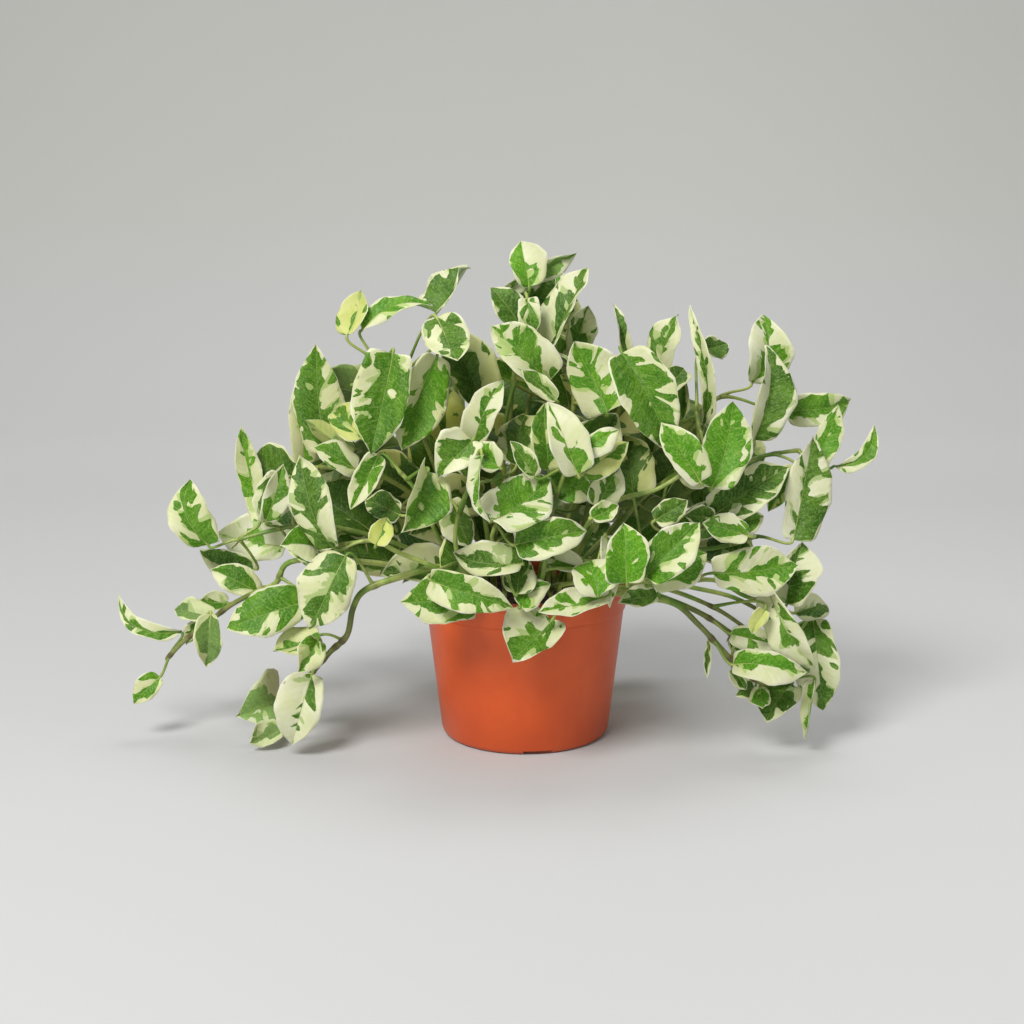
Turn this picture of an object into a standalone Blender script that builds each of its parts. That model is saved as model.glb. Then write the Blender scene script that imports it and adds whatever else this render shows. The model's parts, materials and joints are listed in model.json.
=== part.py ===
"""A potted njoy pothos: a nursery pot filled with soil, and leafy stems with variegated blades."""
import itertools
import math
import random

import bmesh
import bpy
from mathutils import Matrix, Vector
from mathutils.bvhtree import BVHTree

# Pot sizes in metres
POT_TOP_RADIUS = 0.0600
POT_HEIGHT = 0.0920
LIP_HEIGHT = 0.0150
LIP_PROUD = 0.0010
WALL_UNDER_LIP = 0.0586
WALL_AT_FOOT = 0.0496
WALL_THICKNESS = 0.0013
FLOOR_THICKNESS = 0.0020
FOOT_ROUND = 0.0040
POT_SIDES = 32
SOIL_SIDES = 16
DRAIN_HOLES = 8
DRAIN_RADIUS = 0.0035
DRAIN_RING = 0.0320
DRAIN_SIDES = 10
NOTCH_WIDTH = 0.0170
NOTCH_HEIGHT = 0.0024
NOTCH_CENTRE = 0.0075
NOTCH_DEPTH = 0.0060

# Fit, blade and stalk sizes in metres
FIT_GAP = 0.0003
HOLE_GAP = 0.0005
HOLE_SIDES = 5
BLADE_THICKNESS = 0.0009
STALK_THICKNESS = 0.0018

# Viewing frame of the reference picture, for reading places off it
EYE = Vector((0.0, -0.960, 0.3216))
PITCH = math.radians(11.12)
FOCAL_PX = 1663.0
CENTRE_PX = (525.2, 512.0)

# Leaf and stem sizes in metres
LENGTH_TO_WIDTH = 1.42
STEM_RADIUS = 0.0016
STALK_RADIUS = 0.0010
CLEARANCE = 0.0010
SOIL_TOP = 0.084
ROOT_DEPTH = 0.014
FILL_COUNT = 33
GRID_PX = 8
LONGEST_STEP = 0.040
STALK_REACH = 0.016

# Outer side of the pot, radius and height in metres, for keeping leaves clear
POT_HULL = (
    (0.0574, 0.0830), (0.0574, 0.0926), (0.0606, 0.0926), (0.0606, 0.0762), (0.0592, 0.0760), (0.0502, -0.001),
)

# Part of the picture that the visible leaves cover, for placing the hidden ones
COVER = (
    (236, 530), (254, 518), (250, 484), (266, 462), (292, 440), (296, 385), (318, 352), (330, 368),
    (339, 398), (348, 366), (356, 356), (392, 351), (404, 362), (436, 356), (426, 326), (446, 318),
    (486, 348), (500, 345), (500, 300), (520, 262), (545, 262), (584, 285), (588, 318), (612, 358),
    (640, 360), (660, 350), (684, 352), (689, 396), (700, 404), (734, 405), (755, 406), (760, 440), (778, 470),
    (782, 506), (757, 518), (752, 540), (790, 552), (795, 575), (740, 576), (690, 566), (660, 586),
    (616, 600), (606, 735), (446, 735), (436, 598), (404, 590), (372, 576), (350, 584), (332, 622),
    (306, 632), (298, 562), (246, 556), (212, 545),
)

# Each stem: name, root (x, y in mm), places (px, py, depth in mm), and its leaves
# Each leaf: base px, tip px, width px, roll, depth mm, green left, green right, darkness, yellowness
# and, where it needs them, sideways bend px and arch
STEMS = (
    ("stem_upper_left_outer", (-24, 6), ((455, 460, -5), (425, 400, -5), (395, 368, -5), (374, 362, -5)), (
        (347, 335, 361, 290, 34, -35, -5, 0.35, 0.25, 0.3, 0.9),
        (362, 330, 433, 306, 28, -20, -5, 0.95, 0.35, 0.2, 0.2, -5),
        (437, 318, 458, 360, 46, 0, -25, 0.70, 0.45, 0.6, 0.3),
        (437, 356, 402, 451, 53, -25, -40, 0.85, 0.35, 0.1, 0.4),
    )),
    ("stem_upper_left_middle", (-30, -6), (
        (440, 480, -20), (415, 420, -25), (390, 385, -28), (350, 385, -30),
    ), (
        (393, 353, 371, 456, 57, 0, -50, 0.62, 0.55, 0.4, 0.3),
    )),
    ("stem_upper_left_inner", (-12, 12), ((468, 450, 0), (458, 400, 2), (448, 350, 5)), (
        (436, 313, 468, 265, 58, -35, 0, 0.90, 0.55, 0.9, 0.2, -11),
        (482, 402, 448, 326, 50, 0, -10, 0.85, 0.25, 0.8, 0.4),
        (445, 440, 447, 385, 40, 0, -10, 0.30, 0.30, 0.5, 1.0),
    )),
    ("stem_upper_left_low", (-34, 2), ((425, 505, -12), (385, 478, -20), (350, 470, -20), (318, 467, -12)), (
        (329, 452, 316, 344, 50, -10, -27, 0.75, 0.50, 0.4, 0.3, -6),
        (350, 455, 305, 420, 34, 160, -30, 0.15, 0.15, 0.3, 1.0),
        (356, 470, 314, 447, 28, 0, -35, 0.60, 0.60, 0.3, 0.2),
        (299, 482, 250, 460, 44, 0, 2, 0.95, 0.90, 0.9, 0.2),
        (304, 464, 302, 368, 29, 0, -12, 0.25, 0.45, 0.2, 0.4),
    )),
    ("stem_left", (-40, 3), ((400, 545, -5), (350, 530, -8), (305, 525, -8), (270, 531, -8), (238, 540, -8)), (
        (260, 521, 241, 425, 26, -20, -5, 0.35, 0.30, 0.2, 0.3, -4),
        (266, 521, 283, 464, 26, 15, -22, 0.50, 0.50, 0.3, 0.1),
        (288, 478, 262, 524, 42, 0, -14, 0.45, 0.45, 0.6, 0.2),
        (208, 545, 191, 479, 43, -10, -10, 0.45, 0.75, 0.3, 0.3, -12),
        (286, 546, 217, 534, 49, 0, 10, 0.20, 0.20, 0.1, 0.1),
        (255, 569, 199, 549, 28, 0, 5, 0.30, 0.80, 0.9, 0.3, -8),
    )),
    ("stem_left_trailing", (-42, -8), (
        (400, 566, -24), (340, 560, -26), (290, 562, -22), (276, 583, -20), (258, 591, -18), (231, 605, -16),
        (205, 625, -14), (184, 641, -13), (166, 660, -12),
    ), (
        (181, 632, 118, 592, 17, 0, -10, 0.55, 0.30, 0.4, 0.2, -20, 0.08),
        (213, 618, 174, 610, 26, 0, -18, 0.80, 0.60, 1.0, 0.3),
        (205, 622, 186, 645, 20, 20, -10, 0.60, 0.40, 0.4, 0.3),
        (211, 614, 206, 667, 27, 0, -22, 0.85, 0.75, 1.0, 0.5),
        (228, 603, 199, 600, 20, 0, 2, 0.50, 0.50, 0.4, 0.3),
        (258, 594, 211, 568, 30, 0, -10, 0.40, 0.50, 0.4, 0.3),
        (305, 602, 226, 629, 48, 0, -32, 0.35, 0.80, 0.3, 0.3),
        (160, 677, 134, 704, 23, 0, -15, 0.55, 0.50, 0.2, 0.3),
    )),
    ("stem_lower_left_trailing", (-38, -17), (
        (440, 567, -35), (400, 577, -42), (365, 590, -46), (353, 608, -46), (347, 635, -45), (330, 652, -42),
        (311, 674, -38),
    ), (
        (346, 556, 309, 630, 56, 0, -56, 0.50, 0.50, 0.5, 0.3),
        (320, 635, 273, 651, 34, 15, -45, 0.45, 0.45, 0.3, 0.6),
        (318, 640, 298, 672, 30, -20, -47, 0.35, 0.35, 0.3, 0.4),
        (312, 674, 292, 745, 46, 0, -44, 0.15, 0.15, 0.6, 0.1),
        (281, 706, 236, 716, 57, 0, -26, 0.60, 0.35, 0.3, 0.1),
        (280, 730, 250, 743, 26, 0, -34, 0.55, 0.50, 0.7, 0.3),
    )),
    ("stem_left_bundle_low", (-33, -22), ((435, 560, -38), (400, 550, -46), (372, 543, -48), (348, 547, -46)), (
        (334, 548, 299, 455, 44, -20, -50, 0.60, 0.40, 0.9, 0.3),
        (322, 550, 280, 545, 44, 0, -33, 0.30, 0.80, 0.3, 0.3),
        (376, 545, 388, 517, 24, 0, -66, 0.15, 0.20, 0.3, 1.0),
    )),
    ("stem_left_bundle_high", (-26, -14), (
        (440, 540, -36), (424, 505, -50), (412, 485, -56), (398, 470, -55),
    ), (
        (379, 455, 350, 510, 26, 0, -55, 0.40, 0.50, 0.3, 0.3),
        (428, 472, 401, 533, 56, -35, -75, 0.85, 0.25, 0.3, 0.5),
        (400, 515, 365, 500, 30, 0, -44, 0.85, 0.80, 1.0, 0.3),
    )),
    ("stem_top", (0, 12), ((510, 430, 0), (515, 365, -5), (520, 325, -5), (524, 300, -3)), (
        (529, 287, 521, 241, 38, 0, 0, 0.80, 0.25, 0.1, 0.2, 0),
        (506, 292, 578, 252, 23, 35, -6, 0.60, 0.50, 0.3, 0.1, -6),
        (536, 298, 562, 266, 30, 0, 6, 0.85, 0.75, 0.2, 0.2),
        (527, 298, 533, 337, 24, 0, -25, 0.60, 0.60, 0.4, 0.2),
        (522, 326, 490, 287, 31, 0, -15, 0.80, 0.80, 0.9, 0.2),
    )),
    ("stem_top_left", (-6, 0), ((503, 450, -15), (510, 400, -22), (520, 370, -26), (524, 345, -22)), (
        (549, 382, 491, 326, 46, 10, -42, 0.35, 0.45, 0.3, 0.2),
        (508, 318, 554, 271, 40, 0, -20, 0.55, 0.85, 0.9, 0.2),
        (556, 400, 521, 369, 20, 0, -50, 0.55, 0.55, 0.5, 0.2),
    )),
    ("stem_top_right", (14, 2), ((556, 460, -20), (572, 415, -28), (574, 380, -25), (568, 360, -20)), (
        (554, 352, 588, 268, 57, -35, -25, 0.42, 0.30, 0.7, 0.2, 6),
        (575, 352, 588, 305, 30, 0, -8, 0.50, 0.40, 0.5, 0.3),
        (607, 412, 574, 341, 56, -15, -50, 0.55, 0.45, 0.1, 0.2),
        (600, 410, 560, 375, 26, 0, -35, 0.20, 0.20, 0.3, 0.9),
        (592, 402, 551, 352, 16, 60, -40, 0.90, 0.80, 0.9, 0.2),
    )),
    ("stem_centre_left", (-18, -20), ((482, 505, -44), (472, 475, -50), (468, 452, -52)), (
        (474, 443, 503, 380, 36, -15, -60, 0.30, 0.25, 0.4, 0.1),
        (472, 441, 438, 478, 42, 0, -67, 0.30, 0.60, 0.5, 0.2),
        (463, 447, 476, 480, 32, 0, -48, 0.90, 0.85, 1.0, 0.2),
        (500, 468, 470, 449, 30, 0, -72, 0.40, 0.55, 0.1, 0.3),
    )),
    ("stem_centre", (8, -20), ((552, 512, -48), (560, 487, -55), (566, 467, -58)), (
        (535, 477, 510, 441, 20, 0, -65, 0.60, 0.50, 0.5, 0.3),
        (548, 470, 545, 403, 34, 10, -60, 0.75, 0.25, 0.4, 0.6),
        (578, 474, 547, 402, 40, 0, -72, 0.45, 0.45, 0.3, 0.2),
        (583, 474, 629, 442, 32, 0, -76, 0.25, 0.15, 0.3, 0.8),
        (580, 452, 619, 430, 26, 0, -84, 0.45, 0.40, 0.1, 0.2),
    )),
    ("stem_upper_right_inner", (28, 6), ((600, 460, -8), (622, 405, -12), (642, 382, -12)), (
        (622, 353, 673, 453, 62, -10, -55, 0.65, 0.80, 0.4, 0.3),
        (627, 356, 613, 303, 13, 30, -10, 0.95, 0.90, 0.9, 0.3, -4),
        (659, 372, 678, 314, 38, -15, -8, 0.45, 0.40, 0.4, 0.2, -1),
        (668, 392, 684, 368, 25, 0, -20, 0.90, 0.85, 0.9, 0.2),
    )),
    ("stem_upper_right_middle", (33, -6), (
        (640, 500, -25), (680, 470, -38), (698, 440, -34), (696, 410, -20),
    ), (
        (703, 425, 690, 305, 18, -20, -20, 0.45, 0.35, 0.5, 0.2, 17),
        (703, 349, 727, 343, 27, 0, 5, 0.90, 0.85, 1.0, 0.2),
        (700, 482, 661, 422, 36, 0, -70, 0.60, 0.75, 0.1, 0.2),
        (712, 488, 733, 401, 49, 0, -60, 0.85, 0.75, 0.1, 0.2, 4),
    )),
    ("stem_upper_right_outer", (36, 10), ((655, 480, 5), (690, 430, 0), (704, 408, 0), (722, 396, -2)), (
        (752, 383, 763, 314, 45, 15, 0, 0.25, 0.60, 0.3, 0.1, 9),
        (786, 411, 851, 399, 34, 0, -10, 0.60, 0.55, 0.3, 0.2, 4),
    )),
    ("stem_right_high", (40, 0), ((660, 512, -8), (720, 475, -12), (760, 457, -14), (800, 450, -14)), (
        (754, 440, 766, 345, 41, 30, -22, 0.20, 0.55, 0.9, 0.1, 3),
        (814, 470, 838, 404, 27, 0, -25, 0.40, 0.35, 0.1, 0.2, 0),
        (834, 466, 874, 423, 18, 0, -10, 0.60, 0.60, 0.3, 0.2, 17),
        (795, 467, 768, 512, 22, 0, -20, 0.50, 0.45, 0.1, 0.8),
    )),
    ("stem_right", (42, -8), ((655, 552, -25), (715, 548, -28), (757, 536, -30)), (
        (793, 540, 813, 436, 47, 20, -35, 0.20, 0.60, 0.9, 0.1, 2),
        (728, 529, 764, 516, 27, 0, -40, 0.60, 0.50, 0.3, 0.2),
        (748, 536, 702, 523, 30, 0, -52, 0.45, 0.40, 0.3, 0.2),
    )),
    ("stem_right_front", (35, -19), ((650, 562, -38), (690, 540, -42), (708, 526, -42)), (
        (712, 516, 790, 467, 46, 0, -45, 0.75, 0.80, 0.8, 0.2),
        (655, 520, 688, 500, 26, 0, -58, 0.70, 0.60, 0.7, 0.5),
        (714, 518, 684, 515, 20, 0, -50, 0.85, 0.80, 0.9, 0.2),
    )),
    ("stem_right_low", (42, -16), ((660, 584, -42), (713, 580, -42), (745, 596, -38), (778, 606, -35)), (
        (713, 573, 799, 565, 52, 0, -56, 0.40, 0.40, 0.3, 0.2),
        (787, 604, 802, 541, 42, 20, -35, 0.40, 0.35, 0.9, 0.1, -3),
        (795, 613, 827, 605, 29, 0, -25, 0.25, 0.75, 0.9, 0.2),
        (768, 588, 815, 668, 36, 30, -52, 0.25, 0.20, 0.4, 0.2),
    )),
    ("stem_lower_right_outer", (50, -6), (
        (640, 577, -20), (690, 587, -28), (735, 598, -30), (775, 620, -30), (800, 634, -28),
    ), (
        (813, 619, 823, 711, 46, 0, -30, 0.50, 0.50, 0.5, 0.2),
    )),
    ("stem_lower_right", (34, -28), (
        (640, 591, -50), (670, 600, -50), (700, 613, -46), (725, 629, -43), (736, 640, -41),
    ), (
        (731, 634, 786, 645, 26, 0, -46, 0.55, 0.30, 0.3, 0.2),
        (731, 637, 747, 658, 18, 0, -36, 0.85, 0.75, 0.2, 0.3),
        (733, 668, 746, 690, 16, 0, -43, 0.60, 0.60, 0.6, 0.3),
    )),
    ("stem_lower_right_front", (30, -35), (
        (640, 597, -58), (675, 604, -56), (698, 624, -51), (718, 645, -47), (737, 665, -45), (762, 683, -42),
        (790, 680, -40),
    ), (
        (733, 665, 808, 672, 34, 0, -52, 0.70, 0.25, 0.1, 0.2),
        (709, 640, 707, 679, 8, 0, -50, 1.0, 1.0, 1.0, 0.2),
        (808, 670, 776, 673, 18, 0, -36, 0.85, 0.80, 0.9, 0.2),
        (760, 688, 763, 708, 22, 0, -42, 0.75, 0.65, 0.1, 0.3),
        (754, 688, 735, 696, 20, 0, -30, 0.85, 0.80, 0.9, 0.3),
        (792, 684, 766, 722, 44, 0, -34, 0.40, 0.80, 0.9, 0.2),
        (815, 680, 805, 740, 13, 40, -38, 0.50, 0.40, 0.2, 0.4, -10),
    )),
    ("stem_front_left_high", (-12, -34), ((500, 560, -62), (492, 538, -68), (498, 522, -70)), (
        (492, 520, 551, 479, 64, 0, -90, 0.45, 0.45, 0.3, 0.1),
        (515, 545, 587, 531, 42, 0, -80, 0.85, 0.50, 0.4, 0.2),
        (522, 564, 453, 552, 36, 0, -80, 0.40, 0.60, 0.7, 0.3, -7),
        (517, 594, 521, 556, 34, 0, -76, 0.75, 0.50, 0.8, 0.3),
    )),
    ("stem_front_left", (-23, -31), (
        (478, 580, -54), (462, 570, -60), (456, 540, -58), (462, 500, -52), (476, 470, -54),
    ), (
        (482, 455, 489, 522, 18, 45, -70, 0.50, 0.30, 0.3, 0.1),
        (430, 580, 514, 609, 38, 0, -74, 0.50, 0.45, 0.3, 0.3),
        (474, 604, 400, 602, 53, 0, -64, 0.45, 0.55, 0.3, 0.3),
        (450, 500, 470, 548, 34, 0, -40, 0.85, 0.85, 1.0, 0.3),
    )),
    ("stem_front", (4, -38), ((542, 578, -66), (546, 545, -70), (548, 505, -68)), (
        (547, 478, 599, 495, 32, 0, -80, 0.80, 0.60, 0.1, 0.2),
        (582, 568, 532, 554, 22, 0, -60, 0.25, 0.20, 0.4, 0.1),
        (521, 607, 551, 584, 30, 0, -74, 0.60, 0.50, 0.1, 0.3, -10),
    )),
    ("stem_front_right", (15, -37), ((566, 584, -62), (588, 580, -72), (602, 566, -74)), (
        (598, 596, 590, 560, 46, 0, -86, 0.45, 0.45, 0.1, 0.2),
        (606, 536, 610, 608, 22, 0, -82, 0.20, 0.20, 0.3, 0.2),
        (608, 596, 538, 612, 30, 0, -77, 0.20, 0.45, 0.2, 0.2),
        (552, 620, 512, 660, 58, 0, -68, 0.60, 0.55, 0.4, 0.2),
    )),
    ("stem_front_right_outer", (25, -30), ((605, 584, -62), (635, 580, -66), (652, 582, -64)), (
        (627, 583, 623, 522, 44, 0, -80, 0.75, 0.85, 0.0, 0.3),
        (646, 577, 700, 522, 46, 0, -86, 0.75, 0.40, 0.3, 0.2),
        (650, 582, 707, 553, 47, 0, -70, 0.45, 0.40, 0.3, 0.3),
        (657, 596, 618, 603, 22, 0, -62, 0.80, 0.80, 0.9, 0.3),
    )),
    ("stem_centre_right", (20, -16), ((580, 540, -48), (590, 520, -56), (602, 508, -60)), (
        (598, 507, 619, 465, 34, 0, -72, 0.45, 0.40, 0.4, 0.2),
        (592, 518, 619, 505, 22, 0, -78, 0.60, 0.50, 0.3, 0.2),
    )),
    ("stem_centre_right_high", (24, -8), ((598, 520, -42), (621, 499, -50), (655, 490, -55), (682, 474, -56)), (
        (706, 482, 678, 476, 20, 0, -65, 0.10, 0.10, 0.3, 0.3),
    )),
    ("stem_right_fan", (49, -15), ((655, 586, -34), (690, 597, -36), (722, 612, -37), (752, 633, -37)), (
        (765, 610, 752, 634, 16, 0, -44, 0.20, 0.20, 0.3, 0.9),
    )),
)

# Stems at the back, which the picture hides: name, root, places (x, y, z in mm), number of leaves
BACK_STEMS = (
    ("stem_back_left", (-12, 22), ((-30, 45, 140), (-50, 70, 175), (-70, 85, 182)), 3),
    ("stem_back", (2, 26), ((0, 52, 150), (-6, 80, 190), (-6, 100, 205)), 4),
    ("stem_back_right", (18, 23), ((35, 50, 145), (58, 74, 178), (80, 86, 180)), 3),
    ("stem_back_left_low", (-30, 18), ((-58, 40, 125), (-92, 56, 138), (-118, 66, 128)), 3),
    ("stem_back_right_low", (32, 17), ((64, 40, 125), (98, 52, 138), (126, 58, 122)), 3),
    ("stem_back_trailing_left", (-12, 38), ((-17, 60, 108), (-22, 78, 84), (-26, 84, 48)), 3),
    ("stem_back_trailing_right", (12, 38), ((20, 61, 110), (26, 80, 86), (26, 86, 50)), 3),
    ("stem_inner", (-2, -8), ((-6, -6, 130), (-2, 4, 175), (2, 10, 205)), 3),
    ("stem_inner_left", (-20, 26), ((-34, 24, 130), (-52, 22, 170), (-66, 18, 195)), 4),
    ("stem_inner_right", (24, 28), ((40, 24, 130), (62, 22, 168), (78, 16, 190)), 4),
)


# Places and outlines
def seen(px, py, depth_mm):
    """Point at a depth in mm on the line of sight through a place in the picture."""
    right = (px - CENTRE_PX[0]) / FOCAL_PX
    down = (py - CENTRE_PX[1]) / FOCAL_PX
    ray = Vector((right, math.cos(PITCH) - down * math.sin(PITCH), -math.sin(PITCH) - down * math.cos(PITCH)))
    return EYE + ray * ((depth_mm / 1000.0 - EYE.y) / ray.y)


def in_picture(point):
    """Place in the picture where a point shows."""
    away = point - EYE
    forward = away.y * math.cos(PITCH) - away.z * math.sin(PITCH)
    up = away.y * math.sin(PITCH) + away.z * math.cos(PITCH)
    return CENTRE_PX[0] + FOCAL_PX * away.x / forward, CENTRE_PX[1] - FOCAL_PX * up / forward


def inside_outline(x, y, outline):
    """True for a place inside a closed outline."""
    inside = False
    for (x1, y1), (x2, y2) in zip(outline, outline[1:] + outline[:1]):
        if (y1 > y) != (y2 > y) and x < (x2 - x1) * (y - y1) / (y2 - y1) + x1:
            inside = not inside
    return inside


def rounded(points, i, t):
    """Place a share t along the rounded line from point i to the next."""
    a = points[max(i - 1, 0)]
    b = points[i]
    c = points[i + 1]
    d = points[min(i + 2, len(points) - 1)]
    return 0.5 * (2 * b + (c - a) * t + (2 * a - 5 * b + 4 * c - d) * t ** 2 + (3 * b - a - 3 * c + d) * t ** 3)


def smooth_path(points, longest):
    """Points on a rounded line through a few given ones, with one more wherever two are far apart."""
    path = []
    for i in range(len(points) - 1):
        path.append(points[i])
        if (points[i + 1] - points[i]).length > longest:
            path.append(rounded(points, i, 0.5))
    path.append(points[-1])
    return path


# Leaf shape
def half_width(leaf, t):
    """Half the blade's breadth at t from stalk to tip, as a share of its widest half."""
    return max(math.sin(math.pi * t ** leaf["belly"]), 0.0) ** (leaf["blunt"] + 0.42 * t ** 4)


def leaf_axes(leaf):
    """Length, and the directions along, across and out of a blade."""
    along = leaf["tip"] - leaf["base"]
    length = along.length
    along = along.normalized()
    out = leaf["face"] - along * leaf["face"].dot(along)
    out = Matrix.Rotation(leaf["roll"], 3, along) @ out.normalized()
    return length, along, along.cross(out), out


def blade_point(leaf, axes, t, v, lift=0.0, grow=0.0):
    """Point of a blade: t runs from stalk to tip, v from the left edge at -1 to the right edge at 1."""
    length, along, across, out = axes
    half = leaf["width"] / 2
    reach = half_width(leaf, t) * v * half * (1 + math.copysign(leaf["skew"], v))
    rise = abs(reach) * math.sin(leaf["fold"]) - leaf["flare"] * reach * reach / half
    rise += leaf["arch"] * length * 4 * t * (1 - t)
    rise += leaf["wave"] * half * v * v * math.sin(6.283 * (leaf["beats"] * t + leaf["phase"] + 0.22 * v))
    slide = t - 0.10 * math.sin(math.pi * min(t / 0.3, 1.0)) * v * v
    sideways = reach * math.cos(leaf["fold"]) + leaf["bend"] * 4 * t * (1 - t)
    turn = leaf["twist"] * (t - 0.4)
    sideways, rise = (
        sideways * math.cos(turn) - rise * math.sin(turn),
        rise * math.cos(turn) + sideways * math.sin(turn),
    )
    if grow:
        sideways += math.copysign(grow, v) if v else 0.0
        slide += (grow if t > 0.9 else -grow if t < 0.1 else 0.0) / length
    return leaf["base"] + along * (slide * length) + across * sideways + out * (rise + lift)


def stalk_path(leaf, axes, steps=2):
    """Line of a leaf's stalk, from inside the stem to the foot of the blade."""
    start = leaf["from"]
    end = leaf["base"]
    reach = (end - start).length
    early = start.lerp(end, 0.35) + Vector((0, 0, leaf["bow"] * reach))
    late = end - axes[1] * (0.28 * reach)
    path = []
    for k in range(steps + 1):
        t = k / steps
        s = 1 - t
        path.append(start * s ** 3 + early * (3 * s * s * t) + late * (3 * s * t * t) + end * t ** 3)
    return path


# Keeping everything clear of everything else
def rows_of(leaf):
    """Places along a blade where its plain sheet has corners."""
    if leaf["width"] > 0.020 and not leaf.get("hidden"):
        return (0.13, 0.45, 0.82)
    return (0.24, 0.74) if leaf["width"] > 0.0105 else (0.42,)


def blade_sheet(leaf, axes, lift=0.0, grow=0.0):
    """Corners and triangles of a blade as a plain sheet."""
    stations = rows_of(leaf)
    points = [blade_point(leaf, axes, 0.0, 0.0, lift, grow)]
    for t in stations:
        points += [blade_point(leaf, axes, t, v, lift, grow) for v in (-1, 0, 1)]
    points.append(blade_point(leaf, axes, 1.0, 0.0, lift, grow))
    faces = [(0, 2, 1), (0, 3, 2)]
    for row in range(len(stations) - 1):
        a = 1 + 3 * row
        for b in (a, a + 1):
            faces += [(b, b + 1, b + 4), (b, b + 4, b + 3)]
    last = len(points) - 1
    faces += [(last - 3, last - 2, last), (last - 2, last - 1, last)]
    return points, faces


def rim_of(count):
    """Corners round the edge of a blade's plain sheet."""
    rows = (count - 2) // 3
    return [0] + [1 + 3 * r for r in range(rows)] + [count - 1] + [3 + 3 * r for r in reversed(range(rows))]


def padded_blade(leaf, axes, pad):
    """Closed body round a blade, thicker and wider than it."""
    top, faces = blade_sheet(leaf, axes, pad, pad)
    bottom, _ = blade_sheet(leaf, axes, -pad, pad)
    n = len(top)
    rim = rim_of(n)
    sides = []
    for a, b in zip(rim, rim[1:] + rim[:1]):
        sides += [(a, b, b + n), (a, b + n, a + n)]
    return top + bottom, faces + [(a + n, b + n, c + n) for a, b, c in faces] + sides


def tube(path, radius, sides=5):
    """Corners and triangles of a round tube along a path."""
    points = []
    faces = []
    for i, centre in enumerate(path):
        along = (path[min(i + 1, len(path) - 1)] - path[max(i - 1, 0)]).normalized()
        first = along.orthogonal().normalized()
        if i:
            first = (kept - along * kept.dot(along)).normalized()
        kept = first
        second = along.cross(first)
        for k in range(sides):
            turn = 2 * math.pi * k / sides
            points.append(centre + (first * math.cos(turn) + second * math.sin(turn)) * radius)
    for i in range(len(path) - 1):
        for k in range(sides):
            a = i * sides + k
            b = i * sides + (k + 1) % sides
            faces += [(a, b, b + sides), (a, b + sides, a + sides)]
    return points, faces


class Obstacle:
    """A body that later ones must stay clear of."""

    def __init__(self, shape, owner, kind):
        points, faces = shape
        self.owner = owner
        self.kind = kind
        self.tree = BVHTree.FromPolygons(points, faces)
        self.low = [min(p[i] for p in points) for i in range(3)]
        self.high = [max(p[i] for p in points) for i in range(3)]

    def meets(self, other):
        for i in range(3):
            if self.low[i] > other.high[i] or other.low[i] > self.high[i]:
                return False
        return bool(self.tree.overlap(other.tree))


def ring_obstacle(profile, name, sides=40):
    """A turned body or disc, from its half section."""
    points = []
    faces = []
    rows = len(profile)
    for k in range(sides):
        turn = 2 * math.pi * k / sides
        points += [Vector((r * math.cos(turn), r * math.sin(turn), z)) for r, z in profile]
    for k in range(sides):
        for row in range(rows - 1):
            a = k * rows + row
            b = (k + 1) % sides * rows + row
            faces += [(a, a + 1, b + 1), (a, b + 1, b)]
    return Obstacle((points, faces), name, name)


def is_clear(body, placed, ignore):
    return not any(body.meets(other) for other in placed if (other.owner, other.kind) not in ignore)


# Stems
def stem_paths(placed):
    """Rounded line of every stem, shifted a little where two would touch."""
    paths = {}
    listed = [(name, root, [seen(*place) for place in places]) for name, root, places, _ in STEMS]
    listed += [(name, root, [Vector(p) / 1000.0 for p in places]) for name, root, places, _ in BACK_STEMS]
    for number, (name, root, places) in enumerate(listed):
        draw = random.Random(100 + number)
        foot = Vector((root[0] / 1000.0, root[1] / 1000.0, SOIL_TOP))
        for attempt in range(300):
            size = 0.0004 * attempt
            shift = [Vector([draw.uniform(-size, size) for _ in range(3)]) for _ in places]
            moved = [p + s * (0.25 if k else 0.5) for k, (p, s) in enumerate(zip(places, shift))]
            rise = foot + Vector((0, 0, 0.012))
            path = [foot - Vector((0, 0, ROOT_DEPTH)), foot + Vector((0, 0, 0.002))]
            path += smooth_path([rise] + moved, LONGEST_STEP)
            body = Obstacle(tube(path[1:], STEM_RADIUS + CLEARANCE), name, "stem")
            if is_clear(body, placed, ()):
                break
        else:
            print("no clear way for", name)
        placed.append(body)
        paths[name] = path
    return paths


def joint_on(path, point, skip):
    """Segment and share of a stem for a stalk to grow from: the nearest one, or one a few steps off it."""
    places = [(k, share) for k in range(2, len(path) - 1) for share in (0.3, 0.7)] + [(len(path) - 2, 0.92)]
    reaches = {place: (path[place[0]].lerp(path[place[0] + 1], place[1]) - point).length for place in places}
    places.sort(key=lambda place: abs(reaches[place] - STALK_REACH))
    return places[min(skip, len(places) - 1)]


# Leaves that the picture shows
def drawn_leaf(name, number, row):
    """A leaf read off the picture."""
    bx, by, tx, ty, width, roll, depth, left, right, dark, yellow = row[:11]
    bent = row[11:]
    draw = random.Random(1000 + number)
    arch = draw.choice((1, 1, 1, -0.6)) * draw.uniform(0.07, 0.20)
    return {
        "stem": name, "marks": (bx, by, tx, ty), "width_px": width, "depth": depth, "roll": math.radians(roll),
        "fold": math.radians(draw.uniform(12, 34) + 0.40 * min(abs(roll), 50)),
        "flare": draw.uniform(-0.20, 0.34),
        "arch": bent[1] if len(bent) > 1 else arch, "wave": draw.uniform(0.06, 0.16),
        "beats": draw.uniform(0.9, 1.7), "phase": draw.random(), "twist": draw.uniform(-0.55, 0.55),
        "bend_px": bent[0] if bent else 0, "skew": draw.uniform(-0.20, 0.20),
        "green": (left, right), "dark": dark, "yellow": yellow, "seed": draw.random(), "bow": 0.10,
        "belly": draw.uniform(0.76, 0.94), "blunt": draw.uniform(0.48, 0.60),
    }


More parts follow.
